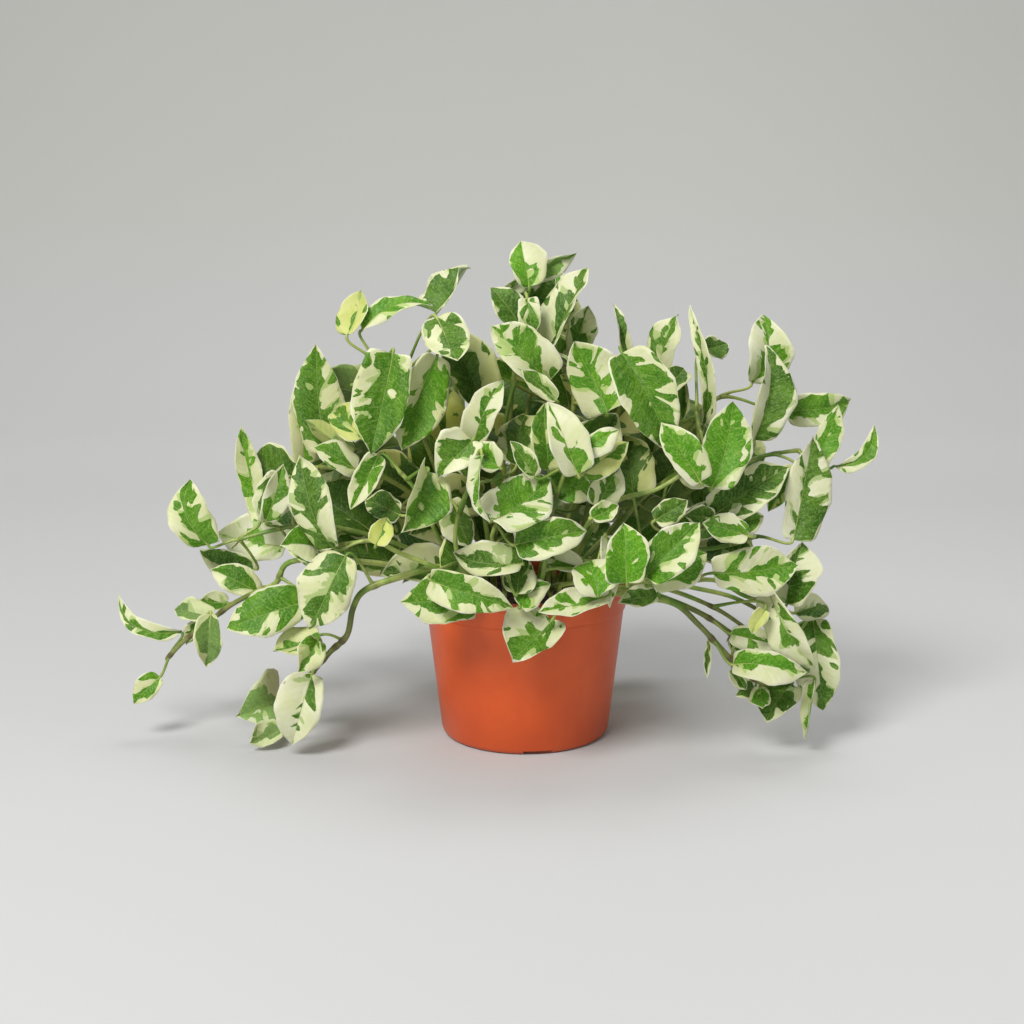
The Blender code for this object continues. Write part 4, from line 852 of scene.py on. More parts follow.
def fill_leaf(paths, gaps, draw):
    """One leaf over a gap, or None."""
    cx, cy = draw.choice(gaps)
    cx += draw.uniform(-GRID_PX, GRID_PX)
    cy += draw.uniform(-GRID_PX, GRID_PX)
    heading = math.atan2(cy - FOOT_PX[1], cx - FOOT_PX[0]) + draw.uniform(-1.2, 1.2)
    width = draw.uniform(*FILL_WIDTHS)
    reach = width * draw.uniform(0.50, 0.75)
    dx = reach * math.cos(heading)
    dy = reach * math.sin(heading)
    depth = draw.uniform(*FILL_DEPTHS)
    share = draw.uniform(0.45, 0.95)
    row = (
        cx - dx, cy - dy, cx + dx, cy + dy, width, draw.uniform(-30, 30), depth,
        share, share * draw.uniform(0.6, 1.2),
        draw.choice((0.4, 0.7, 0.9, 1.0)), draw.choice((0.2, 0.4, 0.6, 0.9)),
    )
    leaf = settle(drawn_leaf("", draw.randrange(100000), row), 0, 0, 1.0)
    if not inside_cover(leaf):
        return None
    leaf["stem"] = nearest_stem(paths, leaf["base"], draw)
    return leaf if leaf["stem"] else None


def best_placed(candidates, paths, placed, gaps):
    """The candidate that covers most of the gaps among those that fit, or None."""
    ranked = sorted(candidates, key=lambda leaf: len(still_open(gaps, leaf)))
    for leaf in ranked:
        if try_leaf(leaf, paths[leaf["stem"]], RULE_JOINTS, RULE_BOWS, placed):
            return leaf
    return None


def place_fill(placed, paths, gaps):
    """Leaves set by rule into the gaps that the drawn ones leave, with a seeded draw."""
    draw = random.Random(FILL_SEED)
    settled = []
    for _ in range(FILL_COUNT):
        candidates = [fill_leaf(paths, gaps, draw) for _ in range(FILL_TRIES)]
        leaf = best_placed([leaf for leaf in candidates if leaf], paths, placed, gaps)
        if leaf:
            settled.append(leaf)
            gaps = still_open(gaps, leaf)
    return settled, gaps


# Leaves that the picture hides
def place_hidden(placed, paths, gaps):
    """Leaves by rule along the stems at the back, inside what the picture covers."""
    settled = []
    for order, (name, _, _, count) in enumerate(BACK_STEMS):
        for k in range(count):
            draw = random.Random(HIDDEN_SEED + 40 * order + k)
            candidates = [hidden_leaf(name, paths[name], k, count, draw) for _ in range(HIDDEN_TRIES)]
            leaf = best_placed([leaf for leaf in candidates if inside_cover(leaf)], paths, placed, gaps)
            if leaf:
                settled.append(leaf)
                gaps = still_open(gaps, leaf)
    return settled, gaps


def hidden_leaf(name, path, k, count, draw):
    """One leaf beside a back stem, facing up and outward."""
    place = path[2 + (len(path) - 3) * (k + 1) // count]
    outward = Vector((place.x, place.y + 0.02, 0.0)).normalized()
    side = (1 if k % 2 else -1) * draw.uniform(0.5, 1.5)
    away = Matrix.Rotation(side, 3, "Z") @ outward
    base = place + away * draw.uniform(0.012, 0.032) + Vector((0, 0, draw.uniform(0.0, 0.022)))
    droop = Vector((0, 0, draw.uniform(-1.1, 0.35)))
    width = draw.uniform(*HIDDEN_WIDTHS)
    along = (away + outward * 0.4 + droop).normalized()
    both = draw.uniform(0.60, 0.95)
    return {
        "stem": name, "hidden": True, "base": base, "tip": base + along * width * draw.uniform(1.4, 1.7),
        "width": width, "face": (outward + Vector((0, 0, 0.9))).normalized(),
        "roll": draw.uniform(-0.4, 0.4), "fold": draw.uniform(0.15, 0.55),
        "flare": draw.uniform(-0.2, 0.3), "arch": draw.uniform(0.05, 0.18),
        "belly": draw.uniform(0.64, 0.80), "blunt": draw.uniform(0.48, 0.60),
        "wave": draw.uniform(0.05, 0.13), "beats": draw.uniform(0.9, 1.6), "phase": draw.random(),
        "twist": draw.uniform(-0.4, 0.4), "bend": 0.0, "skew": 0.0,
        # Hidden leaves take the deepest green, painted shade for the back of the crown
        "green": (both, both * draw.uniform(0.6, 1.1)), "dark": draw.choice((1.1, 1.2, 1.3, 1.4)),
        "yellow": draw.uniform(0.2, 0.7), "seed": draw.random(), "bow": 0.1,
    }


def layout():
    """Stem lines and settled leaves, grouped by stem."""
    placed = [ring_obstacle(POT_HULL, "pot")]
    paths = stem_paths(placed)
    placed.append(ring_obstacle([(radius, SOIL_TOP + SOIL_ROOM) for radius in (0.001, SOIL_REACH)], "soil"))
    leaves = place_drawn(placed, paths)
    gaps = gap_places(leaves)
    hidden, fewer = place_hidden(placed, paths, gaps)
    fill, fewest = place_fill(placed, paths, fewer)
    print(len(leaves), "drawn", len(fill), "fill", len(hidden), "hidden;", len(gaps), len(fewest), "gaps")
    leaves += fill + hidden
    plan = {}
    for name, path in paths.items():
        plan[name] = (path, [leaf for leaf in leaves if leaf["stem"] == name])
    return plan


# Shader building
def linear(red, green, blue):
    """Linear colour from display values of 0 to 255."""
    values = [c / 255.0 for c in (red, green, blue)]
    return tuple(c / 12.92 if c <= 0.04045 else ((c + 0.055) / 1.055) ** 2.4 for c in values) + (1.0,)


class Value:
    """Output of a material's node, for plain arithmetic."""

    def __init__(self, shader, socket):
        self.shader = shader
        self.socket = socket

    def __add__(self, other):
        return self.shader.math("ADD", self, other)

    def __sub__(self, other):
        return self.shader.math("SUBTRACT", self, other)

    def __rsub__(self, other):
        return self.shader.math("SUBTRACT", other, self)

    def __mul__(self, other):
        return self.shader.math("MULTIPLY", self, other)

    def __truediv__(self, other):
        return self.shader.math("DIVIDE", self, other)

    def step(self, low, high, start=0.0, end=1.0):
        """Smooth change from start to end while the value goes from low to high."""
        inputs = dict(enumerate((self, low, high, start, end)))
        return self.shader.node("ShaderNodeMapRange", 0, inputs, interpolation_type="SMOOTHSTEP")


class Shader:
    """Short forms for building a material's nodes."""

    def __init__(self, name):
        self.material = bpy.data.materials.new(name)
        self.material.use_nodes = True
        self.tree = self.material.node_tree
        self.surface = self.tree.nodes["Principled BSDF"]

    def feed(self, socket, value):
        """Link an input to a value, or set it: three plain numbers are a display colour."""
        if isinstance(value, Value):
            self.tree.links.new(value.socket, socket)
        else:
            socket.default_value = linear(*value) if isinstance(value, tuple) and len(value) == 3 else value

    def node(self, kind, output, inputs, **settings):
        """One output of a new node, given its inputs by number or name."""
        made = self.tree.nodes.new(kind)
        for key, value in settings.items():
            setattr(made, key, value)
        for key, value in inputs.items():
            self.feed(made.inputs[key], value)
        return Value(self, made.outputs[output])

    def math(self, operation, *values):
        return self.node("ShaderNodeMath", 0, dict(enumerate(values)), operation=operation)

    def join(self, *values):
        return self.node("ShaderNodeCombineXYZ", 0, dict(enumerate(values)))

    def split(self, vector):
        made = self.tree.nodes.new("ShaderNodeSeparateXYZ")
        self.feed(made.inputs[0], vector)
        return [Value(self, socket) for socket in made.outputs]

    def where(self):
        return self.node("ShaderNodeTexCoord", "Object", {})

    def attribute(self, name):
        return self.split(self.node("ShaderNodeAttribute", "Vector", {}, attribute_name=name))

    def noise(self, vector, scale, detail=2.0, roughness=0.5):
        inputs = {"Vector": vector, "Scale": scale, "Detail": detail, "Roughness": roughness}
        return self.node("ShaderNodeTexNoise", 0, inputs)

    def mix(self, share, a, b, blend="MIX"):
        return self.node("ShaderNodeMix", 2, {0: share, 6: a, 7: b}, data_type="RGBA", blend_type=blend)

    def shaded_inside(self, colour):
        """Colour with painted shade, darker and warmer deep inside the plant."""
        sides = zip(self.split(self.where()), PLANT_CENTRE, PLANT_REACH)
        x, y, z = [(axis - middle) / reach for axis, middle, reach in sides]
        distance = self.math("SQRT", x * x + y * y + z * z)
        return self.mix(distance.step(0.34, 1.00, 0.84, 0.0), colour, INSIDE_SHADE_TINT, "MULTIPLY")

    def finish(self, colour, bump=None, **values):
        """The material with its colour, its bump (height, strength, distance) and its other inputs set."""
        if bump:
            inputs = dict(zip(("Height", "Strength", "Distance"), bump))
            values["Normal"] = self.node("ShaderNodeBump", 0, inputs)
        values["Base_Color"] = colour
        for key, value in values.items():
            self.feed(self.surface.inputs[key.replace("_", " ")], value)
        return self.material


# Materials
def leaf_material():
    """Cream blade with jagged green areas that follow the side veins."""
    shader = Shader("leaf_variegated")
    x, y, half = shader.attribute("leaf_place")
    left, right, dark = shader.attribute("leaf_green")
    yellow, seed, under = shader.attribute("leaf_tone")
    # Darkness picks the deeper greens: partly the leaf's own tone, partly painted shade
    dark = dark.step(-0.05, 0.70)
    out = shader.math("ABSOLUTE", y)
    reach = out / shader.math("MAXIMUM", half, 0.2)
    side = shader.math("GREATER_THAN", y, 0.0)
    share = left * (1.0 - side) + right * side
    vein = x - out * 0.60
    shift = seed * 61.0 + side * 17.3

    def veined(along, across, start, detail=0.0, roughness=0.5):
        """Noise that runs along the side veins."""
        return shader.noise(shader.join(vein * along, shift + start, out * across), 1.0, detail, roughness)

    # Green areas, islands of it, gaps in it, and the cream rim
    lobes = veined(0.070, 0.045, 0.0)
    teeth = veined(0.21, 0.12, 0.0)
    flecks = veined(0.95, 0.55, 0.0, 1.0)
    edge = share * 1.55 - 0.31 + (lobes - 0.5) * 2.6 + (teeth - 0.5) * 0.62 + (flecks - 0.5) * 0.13
    green_part = (edge - reach).step(-0.010, 0.010)
    isles = veined(0.13, 0.10, 9.0) + (flecks - 0.5) * 0.06
    isle_limit = 0.71 - share * 0.12
    green_part = shader.math("MAXIMUM", green_part, isles.step(isle_limit, isle_limit + 0.006))
    gaps = veined(0.12, 0.09, 23.0) + (flecks - 0.5) * 0.06
    gap_limit = share * 0.14 + 0.655
    green_part = green_part * gaps.step(gap_limit, gap_limit + 0.006, 1.0, 0.0)
    margin = (1.0 - reach) * half
    rim_noise = shader.noise(shader.join(x * 0.11, shift + 40.0, 0.0), 1.0, 1.0)
    rim_width = shader.math("MAXIMUM", rim_noise * 7.0 - 2.75 + (teeth - 0.5) * 2.2, 0.26)
    inner = (margin - rim_width).step(-0.06, 0.06)
    green_part = green_part * inner
    cream_part = 1.0 - green_part

    # Cream, veiled with grey-green, and green over it
    grain = shader.noise(shader.join(x, y, shift), 0.75, 4.0, 0.7)
    veil = veined(0.14, 0.06, 55.0, 1.0)
    pale_edge = edge + ((veil - 0.5) * 2.8 - 0.04) + (grain - 0.5) * 0.55
    pale_part = (pale_edge - reach).step(-0.05, 0.05) * inner
    tint = shader.noise(shader.join(x * 0.09, y * 0.09, shift), 1.0, 3.0)
    patches = tint.step(0.35, 0.65)
    clouds = tint.step(0.30, 0.70)
    bright = shader.mix(patches, (100, 160, 24), (74, 140, 12))
    deep = shader.mix(patches, (86, 126, 32), (55, 96, 18))
    green = shader.mix(dark, bright, deep)
    grey = shader.mix(dark, (162, 194, 96), (138, 168, 94))
    shade = shader.mix(dark, (58, 114, 6), (42, 74, 8))
    cream = shader.mix(clouds, (221, 223, 200), (210, 214, 177))
    butter = shader.mix(clouds, (205, 209, 128), (186, 196, 94))
    cream = shader.mix(yellow, cream, butter)
    cream = shader.mix(grain.step(0.46, 0.66) * 0.22, cream, (206, 214, 150))
    colour = shader.mix(pale_part * 0.80, cream, grey)
    colour = shader.mix(green_part, colour, green)

    # Blotches and streaks of darker green and grey
    blotch = veined(0.5, 0.15, 71.0, 3.0)
    streak = veined(0.8, 0.22, 83.0, 4.0, 0.65)
    speckle = shader.noise(shader.join(x, y, shift + 5.0), 1.5, 3.0, 0.7)
    layers = (
        (blotch.step(0.48, 0.62), 0.40, shade), (streak.step(0.50, 0.64), 0.34, grey),
        (speckle.step(0.46, 0.60), 0.46, shade), (grain.step(0.48, 0.64), 0.40, grey),
    )
    for pattern, strength, tone in layers:
        colour = shader.mix(green_part * pattern * strength, colour, tone)

    # Midrib, side veins, stains, worn rim and the paler underside
    ribs = shader.math("ABSOLUTE", shader.math("FRACT", (vein + (tint - 0.5) * 1.6) / VEIN_SPACING) - 0.5)
    rib_line = ribs.step(0.0, 0.06, 1.0, 0.0) * reach.step(0.75, 1.0, 1.0, 0.0)
    mid_line = out.step(0.14, 0.42, 1.0, 0.0)
    rim_part = (margin + (grain - 0.5) * 0.6).step(0.15, 0.42, 1.0, 0.0)
    colour = shader.mix(mid_line * 0.26, colour, (176, 200, 116))
    colour = shader.mix(rib_line * cream_part * 0.30, colour, (188, 196, 128))
    colour = shader.mix(veil.step(0.46, 0.64) * cream_part * 0.22, colour, (196, 202, 142))
    colour = shader.mix(rib_line * green_part * 0.09, colour, (206, 220, 150))
    colour = shader.mix(rim_part * 0.60, colour, (232, 234, 212))
    below = shader.mix(0.40, colour, (168, 190, 130))
    below = shader.mix(mid_line * 0.4, below, (116, 146, 66))
    colour = shader.mix(under, colour, below)
    height = ribs.step(0.0, 0.35) * 0.26 + tint * 0.9 + grain * 0.5 - mid_line * 0.8
    # Painted shade darkens the blades deep inside the plant
    return shader.finish(
        shader.shaded_inside(colour), (height, 0.75, 0.00035),
        Roughness=tint * 0.16 + 0.40, Specular_IOR_Level=0.20,
        Subsurface_Weight=0.12, Subsurface_Scale=0.002, Subsurface_Radius=Vector((0.6, 1.0, 0.3)),
    )


def stem_material():
    """Waxy green stalks, paler in places and brown at the joints."""
    shader = Shader("leaf_stalk")
    run, brown, seed = shader.attribute("leaf_place")
    long = shader.noise(shader.join(run * 0.05, seed * 50.0, 0.0), 1.0, 2.0)
    fine = shader.noise(shader.join(run * 0.9, seed * 50.0, 3.0), 1.0, 3.0)
    green = shader.mix(long.step(0.36, 0.62), (104, 142, 48), (170, 184, 98))
    green = shader.mix(fine.step(0.45, 0.65) * 0.22, green, (76, 108, 40))
    colour = shader.mix(brown, green, (96, 92, 50))
    # Painted shade darkens the stalks deep inside the plant
    return shader.finish(shader.shaded_inside(colour), (fine, 0.35, 0.0002), Roughness=0.42)


def pot_material():
    """Satin terracotta-coloured plastic with faint wear, darker towards the foot, and soil dust inside."""
    shader = Shader("pot_plastic")
    where = shader.where()
    x, y, z = shader.split(where)
    cloud = shader.noise(where, 38.0, 4.0)
    grain = shader.noise(where, 1500.0, 2.0)
    smear = shader.noise(shader.join(x * 60.0, y * 60.0, z * 9.0), 1.0, 3.0)
    colour = shader.mix(cloud.step(0.35, 0.65), (219, 89, 30), (212, 83, 26))
    # Darker towards the foot
    colour = shader.mix(z.step(0.004, 0.034, 0.45, 0.0), colour, (176, 66, 18))
    colour = shader.mix(smear.step(0.55, 0.72) * 0.06, colour, (216, 120, 80))
    radius = shader.math("SQRT", x * x + y * y)
    inside = (radius - (z * DUST_SLOPE + DUST_RADIUS)).step(-0.0002, 0.0002, 1.0, 0.0)
    dust = inside * (z + cloud * 0.010).step(0.088, 0.096, 1.0, 0.0)
    colour = shader.mix(dust * 0.7, colour, (70, 48, 36))
    bump = (grain + cloud * 2.0, 0.12, 0.0002)
    return shader.finish(colour, bump, Roughness=cloud * 0.08 + 0.34, Specular_IOR_Level=0.5)


def soil_material():
    """Dark damp growing mix with paler fibres and specks."""
    shader = Shader("soil_mix")
    where = shader.where()
    coarse = shader.noise(where, 170.0, 4.0, 0.6)
    fine = shader.noise(where, 900.0, 3.0, 0.6)
    colour = shader.mix(coarse.step(0.35, 0.65), (38, 27, 20), (74, 55, 40))
    colour = shader.mix(fine.step(0.62, 0.72), colour, (122, 100, 76))
    return shader.finish(colour, (coarse + fine * 0.5, 0.9, 0.0012), Roughness=0.93)


def paper_material():
    """Studio paper with painted light and shade that evens out the light: darker near the front, lighter to
    the sides and darker behind the plant.
    """
    shader = Shader("studio_paper")
    where = shader.where()
    x, y, z = shader.split(where)
    high = z.step(0.08, 0.30)
    # Painted light: darker paper near the front, lighter further back
    away = y.step(-0.6, 1.6)
    paper = shader.mix(away, (196, 197, 200), shader.mix(high, (232, 233, 236), (232, 233, 231)))
    lighter = shader.mix(away, (204, 205, 208), shader.mix(high, (240, 241, 244), (240, 241, 239)))
    # Painted light: lighter paper to the sides
    sides = (x.step(-0.05, 0.35) + x.step(-1.0, -0.35, 0.6, 0.0)) * y.step(0.1, 0.8, 1.0, 0.30)
    # Painted shade: darker floor behind the plant
    painted_shade_behind = y.step(-0.30, 0.50) * y.step(0.70, 1.20, 1.0, 0.0)
    paper = shader.mix(painted_shade_behind * 0.105, shader.mix(sides, paper, lighter), (0, 0, 0))
    paper = shader.mix(shader.noise(where, 3.0, 2.0) * 0.06, paper, (190, 190, 188))
    return shader.finish(paper, Roughness=0.75)


# Mesh building
def new_object(name, points, edges, faces):
    """Object with a mesh of its own in the scene."""
    mesh = bpy.data.meshes.new(name)
    mesh.from_pydata(points, edges, faces)
    thing = bpy.data.objects.new(name, mesh)
    bpy.context.scene.collection.objects.link(thing)
    return thing


def smooth(mesh):
    mesh.polygons.foreach_set("use_smooth", [True] * len(mesh.polygons))


def settle_mesh(thing):
    """Apply an object's modifiers and face its mesh outward."""
    bpy.context.view_layer.update()
    mesh = bpy.data.meshes.new_from_object(thing.evaluated_get(bpy.context.evaluated_depsgraph_get()))
    work = bmesh.new()
    work.from_mesh(mesh)
    bmesh.ops.recalc_face_normals(work, faces=work.faces)
    work.to_mesh(mesh)
    work.free()
    thing.modifiers.clear()
    thing.data = mesh


class Builder:
    """Collects points, faces, materials and the values that the shaders read."""

    def __init__(self):
        self.points = []
        self.faces = []
        self.slots = []
        self.values = {"leaf_place": [], "leaf_green": [], "leaf_tone": []}

    def point(self, where, place, green=(0, 0, 0), tone=(0, 0, 0)):
        self.points.append(where)
        for kept, value in zip(self.values.values(), (place, green, tone)):
            kept.extend(value)
        return len(self.points) - 1

    def face(self, corners, slot):
        self.faces.append(corners)
        self.slots.append(slot)

    def object(self, name, materials):
        thing = new_object(name, self.points, [], self.faces)
        for material in materials:
            thing.data.materials.append(material)
        thing.data.polygons.foreach_set("material_index", self.slots)
        smooth(thing.data)
        for key, values in self.values.items():
            thing.data.attributes.new(key, "FLOAT_VECTOR", "POINT").data.foreach_set("vector", values)
        thing.data.update()
        return thing


# Leafy stems
def add_tube(build, path, radii, seed, brown=None, sides=8):
    """Round tube with closed ends, with its own values for the stalk shader."""
    run = 0.0
    rings = []
    for i, spots in enumerate(tube_rings(path, radii, sides)):
        run += (path[i] - path[i - 1]).length * 1000.0 if i else 0.0
        rings.append([build.point(spot, (run, brown[i] if brown else 0.0, seed)) for spot in spots])
    for low, high in zip(rings, rings[1:]):
        for k in range(sides):
            build.face((low[k], low[(k + 1) % sides], high[(k + 1) % sides], high[k]), 1)
    build.face(tuple(reversed(rings[0])), 1)
    build.face(tuple(rings[-1]), 1)


def uneven(leaf, t, side):
    """Slight unevenness of a blade's outline, unlike on its two sides."""
    start = leaf["seed"] * 7.0 + (2.6 if side > 0 else 0.0)
    return 1.0 + 0.045 * math.sin(9.0 * t + 3.0 * start) + 0.030 * math.sin(23.0 * t + 5.0 * start)


def blade_rows(leaf):
    """Middle layer of a blade: its rows of points, each with its place in mm and its share across."""
    axes = leaf_axes(leaf)
    half = leaf["width"] * 500.0
    seed = leaf["seed"]
    across = [k / HALF_ACROSS for k in range(-HALF_ACROSS, HALF_ACROSS + 1)]
    rows = []
    for i in range(ROWS_ALONG + 1):
        t = 0.5 - 0.5 * math.cos(math.pi * i / ROWS_ALONG)
        row = []
        for side in (across if 0 < t < 1 else [0.0]):
            v = side * uneven(leaf, t, side)
            x = t * axes[0] * 1000.0
            y = half_width(leaf, t) * v * half
            beat = FULL_TURN * (x - 0.8 * abs(y)) / VEIN_SPACING + 9 * seed
            pucker = PUCKER * math.sin(beat) * abs(v) * (1 - v * v)
            ripple = RIPPLE * v ** 4 * math.sin(0.42 * x + 20 * seed + 2 * v)
            groove = GROOVE * math.exp(-abs(y) / 0.8)
            spot = blade_point(leaf, axes, t, v) + axes[3] * (pucker + ripple - groove)
            row.append((spot, (x, y, max(half_width(leaf, t) * half, 0.01)), v))
        rows.append(row)
    return rows


def add_blade(build, leaf):
    """Thin waved blade with a sharp edge, a sunk midrib and puckers between its veins."""
    out = leaf_axes(leaf)[3]
    green = (*leaf["green"], leaf["dark"])
    pale = PALE_LEAVES.get(leaf.get("marks", ())[:2], 0.0)
    rows = blade_rows(leaf)
    sheets = []
    for up, under in ((1, pale), (-1, 1.0)):
        tone = (leaf["yellow"], leaf["seed"], under)
        sheet = []
        for row in rows:
            thin = 0.4 if len(row) == 1 else 1
            line = []
            for spot, place, v in row:
                thick = LEAF_THICKNESS * (0.5 - 0.3 * v * v) * thin
                line.append(build.point(spot + out * (up * thick), place, green, tone))
            sheet.append(line)
        for low, high in zip(sheet, sheet[1:]):
            add_strip(build, low, high, up < 0)
        sheets.append([line[0] for line in sheet] + [line[-1] for line in reversed(sheet[1:-1])])
    top, bottom = sheets
    for k in range(len(top)):
        n = (k + 1) % len(top)
        build.face((top[k], top[n], bottom[n], bottom[k]), 0)


def add_strip(build, low, high, flip):
    """Faces between two rows of a blade, one of which may be a single point."""
    count = max(len(low), len(high))
    low = low * count if len(low) == 1 else low
    high = high * count if len(high) == 1 else high
    for k in range(count - 1):
        face = tuple(dict.fromkeys((low[k], low[k + 1], high[k + 1], high[k])))
        build.face(face[::-1] if flip else face, 0)


def add_stalk(build, leaf, stem):
    """Leaf stalk from its joint to the blade, carried on as the midrib underneath."""
    axes = leaf_axes(leaf)
    start = rounded(stem, *leaf["joint"])
    path = stalk_path({**leaf, "from": start}, axes, 10)
    radii = []
    for i in range(len(path)):
        t = i / (len(path) - 1)
        knee = 0.22 * math.exp(-((t - 0.94) / 0.05) ** 2)
        radii.append(STALK_RADIUS * (0.82 + 0.75 * math.exp(-t * 9) + knee))
    drop = axes[3] * (LEAF_THICKNESS * 0.5 + 0.0002)
    for t in MIDRIB_PLACES:
        path.append(blade_point(leaf, axes, t, 0.0) - drop)
        radii.append(STALK_RADIUS * (0.62 - 0.62 * t))
    add_tube(build, path, radii, leaf["seed"], sides=7)
    return start


def add_stem(build, path, joints, seed, stout):
    """Main stem, swollen and ringed where a stalk leaves it."""
    points = [rounded(path, i, k / 6) for i in range(len(path) - 1) for k in range(6)] + [path[-1]]
    radii = []
    brown = []
    last = len(points) - 1
    for i, spot in enumerate(points):
        near = min([(spot - joint).length for joint in joints] + [1.0])
        swelling = 1.0 + JOINT_SWELLING * math.exp(-(near / JOINT_REACH) ** 2)
        radii.append(STEM_RADIUS * stout * (1.02 - 0.30 * i / last) * swelling)
        brown.append(0.75 * math.exp(-(near / 0.0013) ** 2) + (0.6 if spot.z < SOIL_TOP + 0.004 else 0.0))
    radii[-1] *= 0.6
    add_tube(build, points, radii, seed, brown, sides=9)


def add_root_stub(build, start, draw):
    """Short brown aerial root below a joint."""
    path = [start]
    heading = Vector((draw.uniform(-0.6, 0.6), draw.uniform(-0.8, 0.2), -0.8)).normalized()
    for _ in ROOT_RADII[1:]:
        path.append(path[-1] + heading * draw.uniform(0.0010, 0.0020))
        heading = (heading + Vector([draw.uniform(-0.35, 0.35) for _ in range(3)])).normalized()
    add_tube(build, path, ROOT_RADII, draw.random(), [0.9] * len(ROOT_RADII), 5)


def make_stem_node(name, number, path, leaves, materials):
    build = Builder()
    draw = random.Random(NODE_SEED + number)
    joints = [add_stalk(build, leaf, path) for leaf in leaves]
    add_stem(build, path, joints, draw.random(), STOUT.get(name, 1.0))
    for joint in joints:
        if draw.random() < ROOTED_JOINTS:
            add_root_stub(build, joint, draw)
    for leaf in leaves:
        add_blade(build, leaf)
    thing = build.object(name + "_fine", materials)
    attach(thing, "root")
    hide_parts(name)


# Pot
def wall_radius(z):
    """Outer radius of the tapering wall."""
    return WALL_AT_FOOT + (WALL_UNDER_LIP - WALL_AT_FOOT) * (z / UNDER_LIP)


def inner_radius(z):
    return wall_radius(z) - WALL_THICKNESS


def pot_profile():
    """Half section of the pot, from the floor's middle up the inside and down the outside."""
    top = POT_TOP_RADIUS
    foot = wall_radius(0)
    lip = wall_radius(UNDER_LIP) + LIP_PROUD
    inside = [
        (0.0, FLOOR_THICKNESS), (inner_radius(0) - 0.0030, FLOOR_THICKNESS),
        (inner_radius(0.002) - 0.0008, 0.0028), (inner_radius(0.004), 0.0048),
        (inner_radius(UNDER_LIP), UNDER_LIP), (top - LIP_INSET, UNDER_LIP + 0.003),
    ]
    rim = (
        (0.0021, 0.0008), (0.0018, 0.0002), (0.0013, 0.0), (0.0007, 0.00005), (0.0002, 0.0004),
        (0.0, 0.0010), (0.0001, 0.0043), (0.00035, 0.0045), (0.00035, 0.0048), (0.0001, 0.0050),
    )
    lip_foot = [(lip, UNDER_LIP + 0.0008), (lip - 0.0002, UNDER_LIP + 0.0002), (lip - 0.0006, UNDER_LIP)]
    outside = [(wall_radius(UNDER_LIP), UNDER_LIP - 0.0003), (wall_radius(0.0042), 0.0042)]
    base = ((0.0003, 0.0021), (0.0011, 0.0009), (0.0021, 0.0002), (0.0034, 0.0))
    edge = [(top - inward, POT_HEIGHT - down) for inward, down in rim]
    return inside + edge + lip_foot + outside + [(foot - inward, z) for inward, z in base] + [(0.0, 0.0)]


def turned(name, profile, spokes):
    """Body turned from its half section."""
    edges = [(i, i + 1) for i in range(len(profile) - 1)]
    thing = new_object(name, [(r, 0.0, z) for r, z in profile], edges, [])
    spin = thing.modifiers.new("turn", "SCREW")
    spin.steps = spokes
    spin.render_steps = spokes
    spin.use_merge_vertices = True
    spin.merge_threshold = 0.00001
    settle_mesh(thing)
    return thing


def cut_pot(pot):
    """Drain holes and the notch in the foot."""
    cutters = bpy.data.collections.new("pot_cutters")
    bpy.context.scene.collection.children.link(cutters)
    for k in range(DRAIN_HOLES + 1):
        work = bmesh.new()
        if k < DRAIN_HOLES:
            turn = 2 * math.pi * (k + 0.5) / DRAIN_HOLES
            place = (DRAIN_RING * math.cos(turn), DRAIN_RING * math.sin(turn), 0.0)
            size = {"radius1": DRAIN_RADIUS, "radius2": DRAIN_RADIUS, "depth": DRILL_LENGTH}
            bmesh.ops.create_cone(work, cap_ends=True, segments=32, **size)
        else:
            place = NOTCH_CENTRE
            bmesh.ops.create_cube(work, size=1.0)
            bmesh.ops.scale(work, verts=work.verts, vec=NOTCH_SIZE)
        bmesh.ops.translate(work, verts=work.verts, vec=place)
        mesh = bpy.data.meshes.new("cutter")
        work.to_mesh(mesh)
        work.free()
        cutters.objects.link(bpy.data.objects.new("cutter_%d" % k, mesh))
    cut = pot.modifiers.new("cut", "BOOLEAN")
    cut.operation = "DIFFERENCE"
    cut.operand_type = "COLLECTION"
    cut.collection = cutters
    cut.solver = "EXACT"
    settle_mesh(pot)
    for thing in list(cutters.objects):
        bpy.data.objects.remove(thing, do_unlink=True)
    bpy.data.collections.remove(cutters)


def make_fine_pot():
    pot = turned("pot_fine", pot_profile(), POT_SPOKES)
    cut_pot(pot)
    smooth(pot.data)
    pot.data.set_sharp_from_angle(angle=math.radians(35))
    pot.data.materials.append(pot_material())
    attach(pot, "root")
    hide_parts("pot")


# Soil
def soil_height(x, y):
    """Uneven top of the soil."""
    spot = Vector((x, y, 0.0))
    rough = noise.fractal(spot * 90.0, 0.9, 2.1, 4) * SOIL_ROUGHNESS
    grit = noise.noise(spot * 520.0) * SOIL_GRIT
    fall = SOIL_FALL * (math.hypot(x, y) / SOIL_REACH) ** 6
    return SOIL_TOP - 0.0006 + rough + grit - fall


def soil_ring(radius, z=None):
    """Ring of points round the soil, on its uneven top or at a given height."""
    turns = [2 * math.pi * k / SOIL_SPOKES for k in range(SOIL_SPOKES)]
    places = [(radius * math.cos(turn), radius * math.sin(turn)) for turn in turns]
    return [(x, y, soil_height(x, y) if z is None else z) for x, y in places]


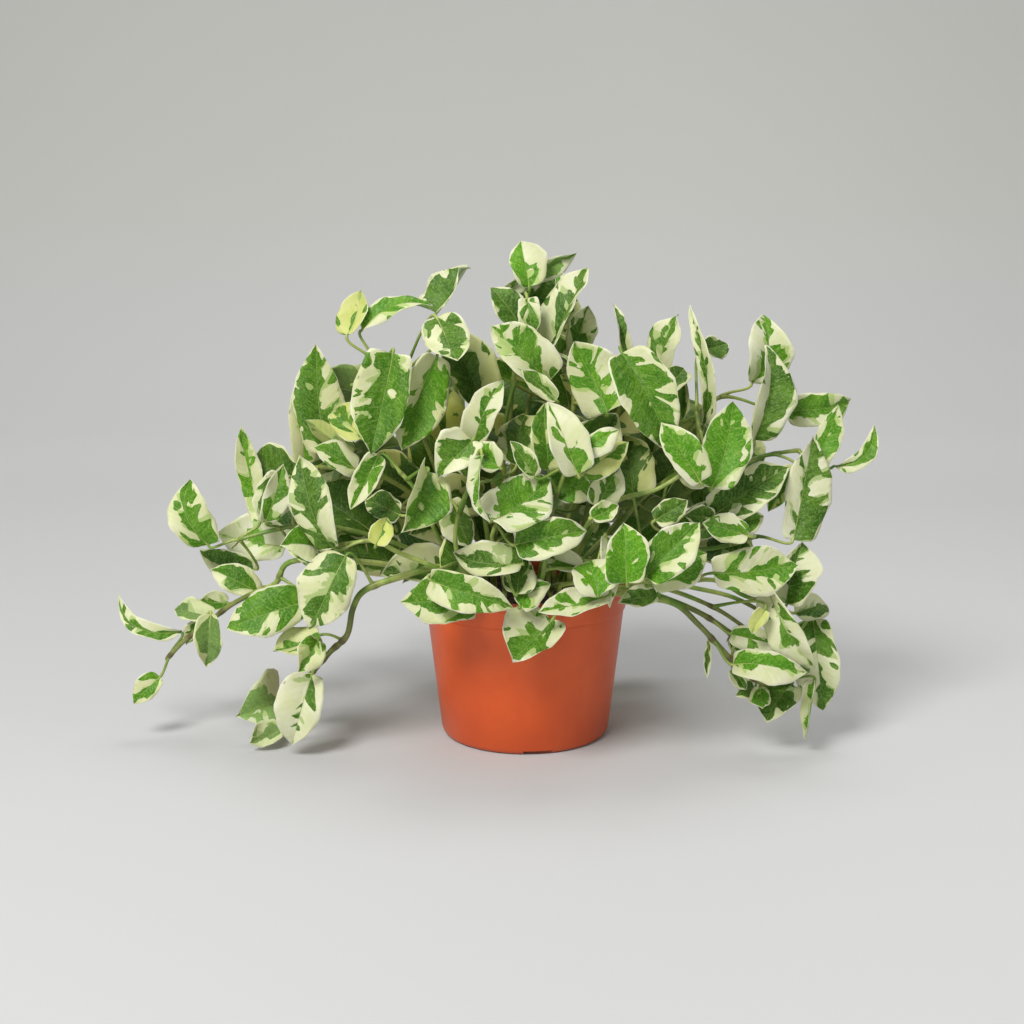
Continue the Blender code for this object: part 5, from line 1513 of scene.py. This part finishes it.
def make_fine_soil():
    """Soil with a crumbly top."""
    outer = POT_TOP_RADIUS - LIP_INSET - FIT_GAP
    points = [(0.0, 0.0, soil_height(0.0, 0.0))]
    for ring in range(1, SOIL_RINGS + 1):
        points += soil_ring(outer * ring / SOIL_RINGS)
    points += soil_ring(outer, UNDER_LIP + 0.0035)
    points += soil_ring(inner_radius(UNDER_LIP) - FIT_GAP, UNDER_LIP)
    points += soil_ring(inner_radius(0.0045) - FIT_GAP, 0.0050)
    points += soil_ring(inner_radius(0) - 0.0032, FLOOR_THICKNESS + FIT_GAP)
    spokes = SOIL_SPOKES
    last = len(points) - spokes
    faces = [(0, 1 + k, 1 + (k + 1) % spokes) for k in range(spokes)]
    for low in range(1, last, spokes):
        for k in range(spokes):
            n = (k + 1) % spokes
            faces.append((low + k, low + spokes + k, low + spokes + n, low + n))
    faces.append(tuple(reversed(range(last, len(points)))))
    soil = new_object("soil_fine", points, [], faces)
    settle_mesh(soil)
    smooth(soil.data)
    soil.data.materials.append(soil_material())
    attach(soil, "root")
    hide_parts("soil")


# Studio
def area_light(name, place, target, size, power, colour):
    light = bpy.data.lights.new(name, "AREA")
    light.shape = "DISK"
    light.size = size
    light.energy = power
    light.color = colour
    thing = bpy.data.objects.new(name, light)
    thing.location = place
    thing.rotation_euler = (Vector(target) - Vector(place)).to_track_quat("-Z", "Y").to_euler()
    bpy.context.scene.collection.objects.link(thing)


def make_floor():
    """Pale surface that curves up into a backdrop."""
    profile = [(FLOOR_FRONT, 0.0), (CURVE_START, 0.0)]
    for k in range(1, CURVE_STEPS + 1):
        turn = k * math.pi / (2 * CURVE_STEPS)
        rise = CURVE_RADIUS - CURVE_RADIUS * math.cos(turn)
        profile.append((CURVE_START + CURVE_RADIUS * math.sin(turn), rise))
    profile.append((CURVE_START + CURVE_RADIUS, BACKDROP_TOP))
    points = [(x, y, z) for y, z in profile for x in (-FLOOR_HALF, FLOOR_HALF)]
    faces = [(2 * k, 2 * k + 1, 2 * k + 3, 2 * k + 2) for k in range(len(profile) - 1)]
    floor = new_object("studio_floor", points, [], faces)
    smooth(floor.data)
    floor.data.materials.append(paper_material())


def make_studio():
    make_floor()
    world = bpy.data.worlds.new("studio_air")
    bpy.context.scene.world = world
    world.use_nodes = True
    world.node_tree.nodes["Background"].inputs[0].default_value = AIR_COLOUR
    world.node_tree.nodes["Background"].inputs[1].default_value = AIR_STRENGTH
    for light in LIGHTS:
        area_light(*light)


def make_camera():
    lens = bpy.data.cameras.new("camera")
    lens.sensor_width = SENSOR_MM
    lens.lens = FOCAL_PX * SENSOR_MM / IMAGE_PX
    lens.shift_x = (IMAGE_PX / 2 - CENTRE_PX[0]) / IMAGE_PX
    lens.clip_start = 0.01
    camera = bpy.data.objects.new("camera", lens)
    camera.location = EYE
    camera.rotation_euler = (math.pi / 2 - PITCH, 0.0, 0.0)
    bpy.context.scene.collection.objects.link(camera)
    bpy.context.scene.camera = camera


def main():
    bpy.context.scene.view_settings.view_transform = "Standard"
    materials = (leaf_material(), stem_material())
    for number, (name, (path, leaves)) in enumerate(layout().items()):
        make_stem_node(name, number, path, leaves, materials)
    make_fine_pot()
    make_fine_soil()
    make_studio()
    make_camera()


main()
